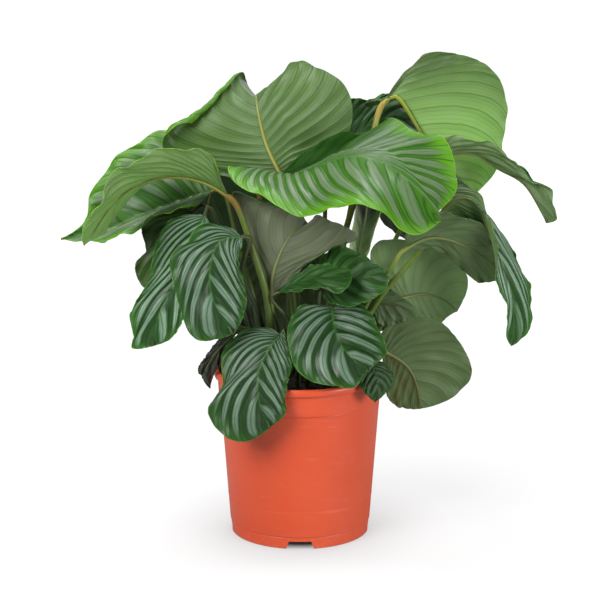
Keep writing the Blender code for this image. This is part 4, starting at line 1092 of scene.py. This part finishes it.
def under_material(tone):
    surface, tree, shader, found, place = leaf_surface(tone + " underside")
    maths, paint = partial(math_node, tree), UNDER_COLOURS[tone]
    patches = ramp(tree, noise_at(tree, place, 10.0, 3.0), 0.3, 0.75)
    colour = painted_over(tree, blend_colour(tree, patches, paint["green"], paint["band"]), [
        (maths("MULTIPLY", found["Silver"], 0.55), paint["band"]),
        (maths("MULTIPLY", found["Vein"], 0.75), paint["vein"]),
        (maths("MULTIPLY", found["Fine"], 0.28), paint["vein"]),
        (maths("MULTIPLY", found["Edge"], 0.5), paint["band"])])
    rough = maths("MULTIPLY_ADD", found["Mottle"], 0.14, 0.46)
    grain = noise_at(tree, place, 700.0, 1.0)
    height = maths("MULTIPLY_ADD", found["Fine"], 0.7, maths("MULTIPLY", grain, 0.3))
    height = maths("MULTIPLY_ADD", found["Vein"], 1.2, height)
    finish_surface(tree, shader, tone_and_painted_light(tree, colour, found["Tip"], under=True), rough, height)
    let_light_in(shader, GLOW_THROUGH.get(tone, UNDER_SCATTER), radius=LEAF_SCATTER)
    return surface


UPPER = {tone: upper_material(tone) for tone in UPPER_COLOURS}
FOLD_IN_SHADE = upper_material("bright", "folded part in painted shade", FOLD_SHADE_GLOSS)
UNDER = {tone: under_material(tone) for tone in UNDER_COLOURS}
print("leaf materials", len(UPPER) + len(UNDER) + 1)

# %% [markdown]
# A stalk is green at the soil and paler higher up, with fine streaks along it. Its joint is ochre,
# and on the blade it takes the midrib's colour, which starts dull under the leaf's base.

# %% Stalk materials
STALK_COLOURS = {
    "bright": dict(foot=(0.045, 0.10, 0.010), top=(0.14, 0.175, 0.018), joint=(0.20, 0.120, 0.012),
                   midrib=(0.23, 0.24, 0.028)),
    "golden": dict(foot=(0.045, 0.10, 0.010), top=(0.30, 0.32, 0.040), joint=(0.40, 0.28, 0.050),
                   midrib=(0.30, 0.36, 0.028)),
    "olive": dict(foot=(0.05, 0.10, 0.008), top=(0.17, 0.25, 0.016), joint=(0.26, 0.29, 0.055),
                  midrib=(0.16, 0.20, 0.055)),
    # The dark stalks stand deep in the plant, and their dark greens are painted shade.
    "dark": dict(foot=(0.012, 0.032, 0.004), top=(0.024, 0.048, 0.006), joint=(0.045, 0.055, 0.008),
                 midrib=(0.060, 0.085, 0.020)),
    "young": dict(foot=(0.07, 0.13, 0.02), top=(0.20, 0.28, 0.10), joint=(0.22, 0.28, 0.10),
                  midrib=(0.24, 0.32, 0.12)),
}
RIB_BASE = (0.055, 0.095, 0.026)
STREAK_STRETCH = (1.0, 1.0, 0.12)
STALK_SCATTER = 0.15


def stalk_material(name):
    surface, tree, shader = new_surface(name + " stalk")
    fade, paint = partial(ramp, tree), STALK_COLOURS[name]
    place = node(tree, "ShaderNodeTexCoord").outputs["Object"]
    stalk_map = node(tree, "ShaderNodeUVMap", uv_map="UVMap").outputs[0]
    climb = node(tree, "ShaderNodeSeparateXYZ", {0: stalk_map}).outputs[1]
    stretched = node(tree, "ShaderNodeMapping", {"Vector": place, "Scale": STREAK_STRETCH}).outputs[0]
    streaks = noise_at(tree, stretched, 420.0, 2.0)
    patches = noise_at(tree, place, 30.0, 2.0)
    on_blade = attribute(tree, "midrib")
    ripe = math_node(tree, "MULTIPLY", attribute(tree, "joint"), fade(patches, 0.2, 0.7, 0.55, 1.0))
    colour = painted_over(tree, blend_colour(tree, fade(climb, 0.0, 0.8), paint["foot"], paint["top"]), [
        (fade(streaks, 0.4, 0.7, 0.0, 0.5), paint["foot"]),
        (fade(on_blade, 0.0, 0.05), blend_colour(tree, on_blade, RIB_BASE, paint["midrib"])),
        (ripe, paint["joint"])])
    finish_surface(tree, shader, colour, fade(streaks, 0.2, 0.8, 0.38, 0.56), streaks, strength=0.5)
    let_light_in(shader, STALK_SCATTER)
    return surface


STALK = {name: stalk_material(name) for name in STALK_COLOURS}
print("stalk materials", len(STALK))

# %% [markdown]
# Now every leaf is grown: blade, then stalk, then both joined into one piece with three materials,
# upper side, underside and stalk. A leaf with a part painted dark and plain as shade has a fourth,
# a duller upper side for that painted shade. The piece stands for its CAD node, which stays for collisions.


def grow_leaf(leaf):
    blade, along, upward = grow_blade(leaf)
    blade.data.materials.append(UPPER[leaf.upper])
    blade.data.materials.append(UNDER[leaf.under])
    apply_all(blade)
    if leaf.fold > 0:
        blade.data.materials.append(FOLD_IN_SHADE)
        folded = [point.value > 0.5 for point in blade.data.attributes["fold"].data]
        for face in blade.data.polygons:
            if face.material_index == 0 and all(folded[corner] for corner in face.vertices):
                face.material_index = 2
    stalk = grow_stalk(leaf, along, upward)
    stalk.data.materials.append(STALK[leaf.stem])
    join_all([blade, stalk])
    bpy.ops.object.shade_smooth()
    blade.name = blade.data.name = leaf.name + "_grown"
    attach(blade, "root")
    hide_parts(leaf.name)
    return blade


for leaf in LEAVES:
    grown = grow_leaf(leaf)
    print(leaf.name, len(grown.data.polygons), "faces")

# %% [markdown]
# The pot is thin moulded plastic: a tapered wall, a band under a rolled rim, a bead low on the
# wall and a foot with notches that let water out. It is a turned shape, so its profile is drawn
# once, as places by radius and height, and spun round the axis.

# %% The pot's body
POT_STEPS = 144
POT_PROFILE = [
    (0.0, 0.0), (61.0, 0.0), (63.0, 10.5), (85.2, 10.5), (85.7, 0.5), (86.2, 0.0), (87.6, 0.0),
    (88.0, 0.5), (88.3, 14.0), (87.9, 14.6), (88.0, 15.1), (89.1, 15.3), (89.4, 15.9), (91.7, 47.2),
    (91.5, 47.6), (92.0, 47.9), (92.1, 48.4), (91.9, 49.0), (101.3, 175.6), (101.1, 176.2),
    (102.9, 176.6), (103.2, 177.3), (104.4, 202.6), (104.6, 203.3), (105.2, 203.6), (107.9, 203.8),
    (108.5, 204.2), (108.8, 205.0), (108.8, 209.8), (108.4, 211.2), (107.5, 212.2), (106.3, 212.7),
    (105.0, 212.8), (103.9, 212.4), (103.2, 211.6), (102.9, 210.4), (102.7, 203.0), (99.6, 176.0),
    (87.6, 17.0), (86.8, 14.0), (84.2, 12.5), (65.0, 12.5), (63.6, 11.6), (63.0, 2.6), (62.4, 2.0),
    (0.0, 2.0),
]
LONG_RUN = 6.0
HOLDING_RING = 0.7


def held(profile):
    """Rings close to both ends of every long run, which keep a small step from shading the wall."""
    rings = [profile[0]]
    for low, high in zip(profile, profile[1:]):
        run = math.dist(low, high)
        if run > LONG_RUN:
            for share in (HOLDING_RING / run, 1 - HOLDING_RING / run):
                rings.append((low[0] + (high[0] - low[0]) * share, low[1] + (high[1] - low[1]) * share))
        rings.append(high)
    return rings


def spin_profile(name, profile, steps):
    """A solid of revolution about +Z, spun from a line of (radius, height)."""
    profile = held(profile)
    deselect_all()
    bpy.ops.mesh.primitive_circle_add(vertices=len(profile), radius=1.0)
    piece = bpy.context.object
    piece.name = piece.data.name = name
    set_points(piece, [(radius * MM, 0.0, height * MM) for radius, height in profile])
    edit_all(partial(bpy.ops.mesh.spin, steps=steps, angle=math.tau, center=(0.0, 0.0, 0.0),
                     axis=(0.0, 0.0, 1.0), dupli=False),
             partial(bpy.ops.mesh.remove_doubles, threshold=MERGE_DISTANCE))
    return piece


pot = spin_profile("nursery_pot", POT_PROFILE, POT_STEPS)
print("pot faces before the cuts", len(pot.data.polygons))

# %% [markdown]
# Four notches in the foot's edge and four drain holes in the floor are cut out of the turned shape.
# A notch is narrower at its top, and its edges are rounded, as the mould's are.

# %% Notches and drain holes
NOTCH = dict(place=80.0, depth=20.0, width=36.0, top=28.5, height=9.8, below=2.0, rounding=1.2)
DRAIN = dict(place=75.5, height=11.5, radius=6.0, depth=8.0, turn=0.1)
SHARP_ANGLE = math.radians(40)


def notch_cutter(angle):
    deselect_all()
    bpy.ops.mesh.primitive_cube_add(size=1.0)
    notch = bpy.context.object
    corners = points_of(notch)
    narrow = np.where(corners[:, 2] > 0, NOTCH["top"], NOTCH["width"])
    rise = (corners[:, 2] + 0.5) * (NOTCH["height"] + NOTCH["below"]) - NOTCH["below"]
    inward = NOTCH["place"] + corners[:, 0] * NOTCH["depth"]
    set_points(notch, np.stack([inward, corners[:, 1] * narrow, rise], axis=1) * MM)
    notch.rotation_euler.z = angle
    bevel = notch.modifiers.new("round", "BEVEL")
    bevel.width = NOTCH["rounding"] * MM
    bevel.segments = 3
    apply_all(notch)
    return notch


def drain_cutter(angle):
    deselect_all()
    away = DRAIN["place"] * MM
    place = (away * math.cos(angle), away * math.sin(angle), DRAIN["height"] * MM)
    bpy.ops.mesh.primitive_cylinder_add(vertices=32, radius=DRAIN["radius"] * MM, depth=DRAIN["depth"] * MM,
                                        location=place, rotation=(0.0, 0.0, DRAIN["turn"]))
    return bpy.context.object


def cut(piece, cutter):
    step = piece.modifiers.new("cut", "BOOLEAN")
    step.operation = "DIFFERENCE"
    step.solver = "EXACT"
    step.object = cutter
    apply_all(piece)
    bpy.data.objects.remove(cutter, do_unlink=True)


for quarter_turn in range(4):
    angle = math.tau * (quarter_turn / 4 - 0.25)
    cut(pot, notch_cutter(angle))
    cut(pot, drain_cutter(angle))
deselect_all()
pot.select_set(True)
bpy.context.view_layer.objects.active = pot
bpy.ops.object.shade_smooth_by_angle(angle=SHARP_ANGLE)
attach(pot, "root")
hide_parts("pot")
print("pot faces", len(pot.data.polygons))

# %% [markdown]
# Injection moulded plastic is an even satin colour, but not a flat one: it is a little duller where
# hands and bench have rubbed it, dusty near the foot, and its gloss wanders in broad patches.

# %% Pot plastic
TERRACOTTA, TERRACOTTA_LIGHTER = (0.67, 0.079, 0.025), (0.71, 0.092, 0.031)
RUBBED, DUSTY = (0.76, 0.23, 0.14), (0.55, 0.30, 0.20)
SCUFF_STRETCH = (1.0, 1.0, 7.0)
DUST_UP_TO = 0.03


def pot_material():
    surface, tree, shader = new_surface("terracotta plastic")
    fade = partial(ramp, tree)
    place = node(tree, "ShaderNodeTexCoord").outputs["Object"]
    clouds = noise_at(tree, place, 9.0, 4.0)
    specks = noise_at(tree, place, 260.0, 2.0)
    rubbed = node(tree, "ShaderNodeMapping", {"Vector": place, "Scale": SCUFF_STRETCH}).outputs[0]
    scuffs = noise_at(tree, rubbed, 34.0, 5.0)
    height = node(tree, "ShaderNodeSeparateXYZ", {0: place}).outputs[2]
    low = fade(height, DUST_UP_TO, 0.0, 0.0, 0.12)
    dust = math_node(tree, "MULTIPLY", low, fade(specks, 0.4, 0.65))
    colour = blend_colour(tree, fade(clouds, 0.3, 0.7), TERRACOTTA, TERRACOTTA_LIGHTER)
    colour = painted_over(tree, colour, [(fade(scuffs, 0.56, 0.74, 0.0, 0.16), RUBBED), (dust, DUSTY)])
    duller = fade(scuffs, 0.5, 0.75, 0.0, 0.12)
    rough = math_node(tree, "ADD", fade(clouds, 0.3, 0.7, 0.36, 0.46), duller)
    finish_surface(tree, shader, colour, rough, specks, distance=0.00006, strength=0.35)
    let_light_in(shader, 0.06, depth=0.004)
    return surface


pot.data.materials.clear()
pot.data.materials.append(pot_material())
print("pot material", pot.data.materials[0].name)

# %% [markdown]
# Potting soil is dark peat with a crumbly top. The CAD's root ball stays as the body and only gets
# the peat's looks.

# %% Peat
def soil_material(name, dark, light):
    surface, tree, shader = new_surface(name)
    place = node(tree, "ShaderNodeTexCoord").outputs["Object"]
    lumps = noise_at(tree, place, 160.0, 6.0)
    cells = node(tree, "ShaderNodeTexVoronoi", {"Vector": place, "Scale": 420.0}).outputs[0]
    colour = blend_colour(tree, ramp(tree, lumps, 0.35, 0.7), dark, light)
    height = math_node(tree, "ADD", lumps, math_node(tree, "MULTIPLY", cells, 0.5))
    rough = ramp(tree, lumps, 0.3, 0.7, 0.98, 0.8)
    finish_surface(tree, shader, colour, rough, height, distance=0.002, strength=0.9)
    return surface


peat = soil_material("peat", (0.010, 0.007, 0.005), (0.045, 0.028, 0.018))
root_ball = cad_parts["soil"]
root_ball.data.materials.clear()
root_ball.data.materials.append(peat)
print("root ball material", root_ball.data.materials[0].name)

# %% [markdown]
# A rough crust lies on the root ball. It is a grid drawn out to a disc, so that its rows end on the
# pot's wall, and its points are pushed up and down by noise of three sizes.

# %% Soil crust
CRUST_RADIUS = 100.0
CRUST_CELLS = 110
CRUST_RISE = 2.6
CRUST_LUMPS = ((0.045, 1.6), (0.16, 1.3), (0.45, 0.8))
CRUST_RIM, CRUST_RIM_RISE = 0.985, 0.6
CRUST_DEPTH = 6.0


def dome(share):
    """The soil's height at a share of its radius."""
    return SOIL_HEIGHT + SOIL_CROWN * (1 - share ** 2)


deselect_all()
bpy.ops.mesh.primitive_grid_add(x_subdivisions=CRUST_CELLS, y_subdivisions=CRUST_CELLS, size=2.0)
crust = bpy.context.object
crust.name = crust.data.name = "soil_crust"
square = points_of(crust)
disc = square[:, :2] * np.sqrt(1 - square[:, 1::-1] ** 2 / 2)
radius = np.hypot(disc[:, 0], disc[:, 1])
top = np.empty(len(square))
for index, (x, y) in enumerate(disc * CRUST_RADIUS):
    spot = Vector((x, y, 0.0))
    top[index] = sum(noise.noise(spot * rate) * lump for rate, lump in CRUST_LUMPS)
height = np.where(radius > CRUST_RIM, SOIL_HEIGHT + CRUST_RIM_RISE, dome(radius) + CRUST_RISE + top)
set_points(crust, np.column_stack([disc * CRUST_RADIUS, height]) * MM)
downward = {"value": (0.0, 0.0, -CRUST_DEPTH * MM)}
edit_all(partial(bpy.ops.mesh.extrude_region_move, TRANSFORM_OT_translate=downward))
bpy.ops.object.shade_smooth()
crust.data.materials.append(peat)
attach(crust, "root")
print("crust", len(crust.data.polygons), "faces")

# %% [markdown]
# Loose crumbs lie on the crust. Each is a small ball with its own dents, and all are joined into one
# piece. Their places and sizes are drawn at random, seeded like the leaves' crinkles.

# %% Crumbs
CRUMBS = 170
CRUMB_REACH = 95.0
CRUMB_SIZES = (1.2, 3.4)
CRUMB_RISE = 3.0
CRUMB_DENTS = 0.45

rng = np.random.default_rng(7)
lumps = []
for number in range(CRUMBS):
    spread = CRUMB_REACH * math.sqrt(rng.random())
    turn = rng.random() * math.tau
    size = rng.uniform(*CRUMB_SIZES)
    rise = dome(spread / CRUST_RADIUS) + CRUMB_RISE + rng.uniform(0.0, 1.0)
    deselect_all()
    bpy.ops.mesh.primitive_ico_sphere_add(subdivisions=2, radius=1.0)
    lump = bpy.context.object
    ball = points_of(lump)
    own = Vector((number * 3.1, 0.0, 0.0))
    dents = np.array([noise.noise(Vector(point) * 1.6 + own) for point in ball])
    ball = ball * (1 + CRUMB_DENTS * dents[:, None]) * size * rng.uniform(0.6, 1.0, 3)
    set_points(lump, (ball + (spread * math.cos(turn), spread * math.sin(turn), rise)) * MM)
    lumps.append(lump)
crumbs = join_all(lumps)
crumbs.name = crumbs.data.name = "soil_crumbs"
crumbs.data.materials.append(soil_material("loose peat", (0.014, 0.009, 0.006), (0.07, 0.045, 0.03)))
bpy.ops.object.shade_smooth()
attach(crumbs, "root")
print("crumbs", len(crumbs.data.polygons), "faces")
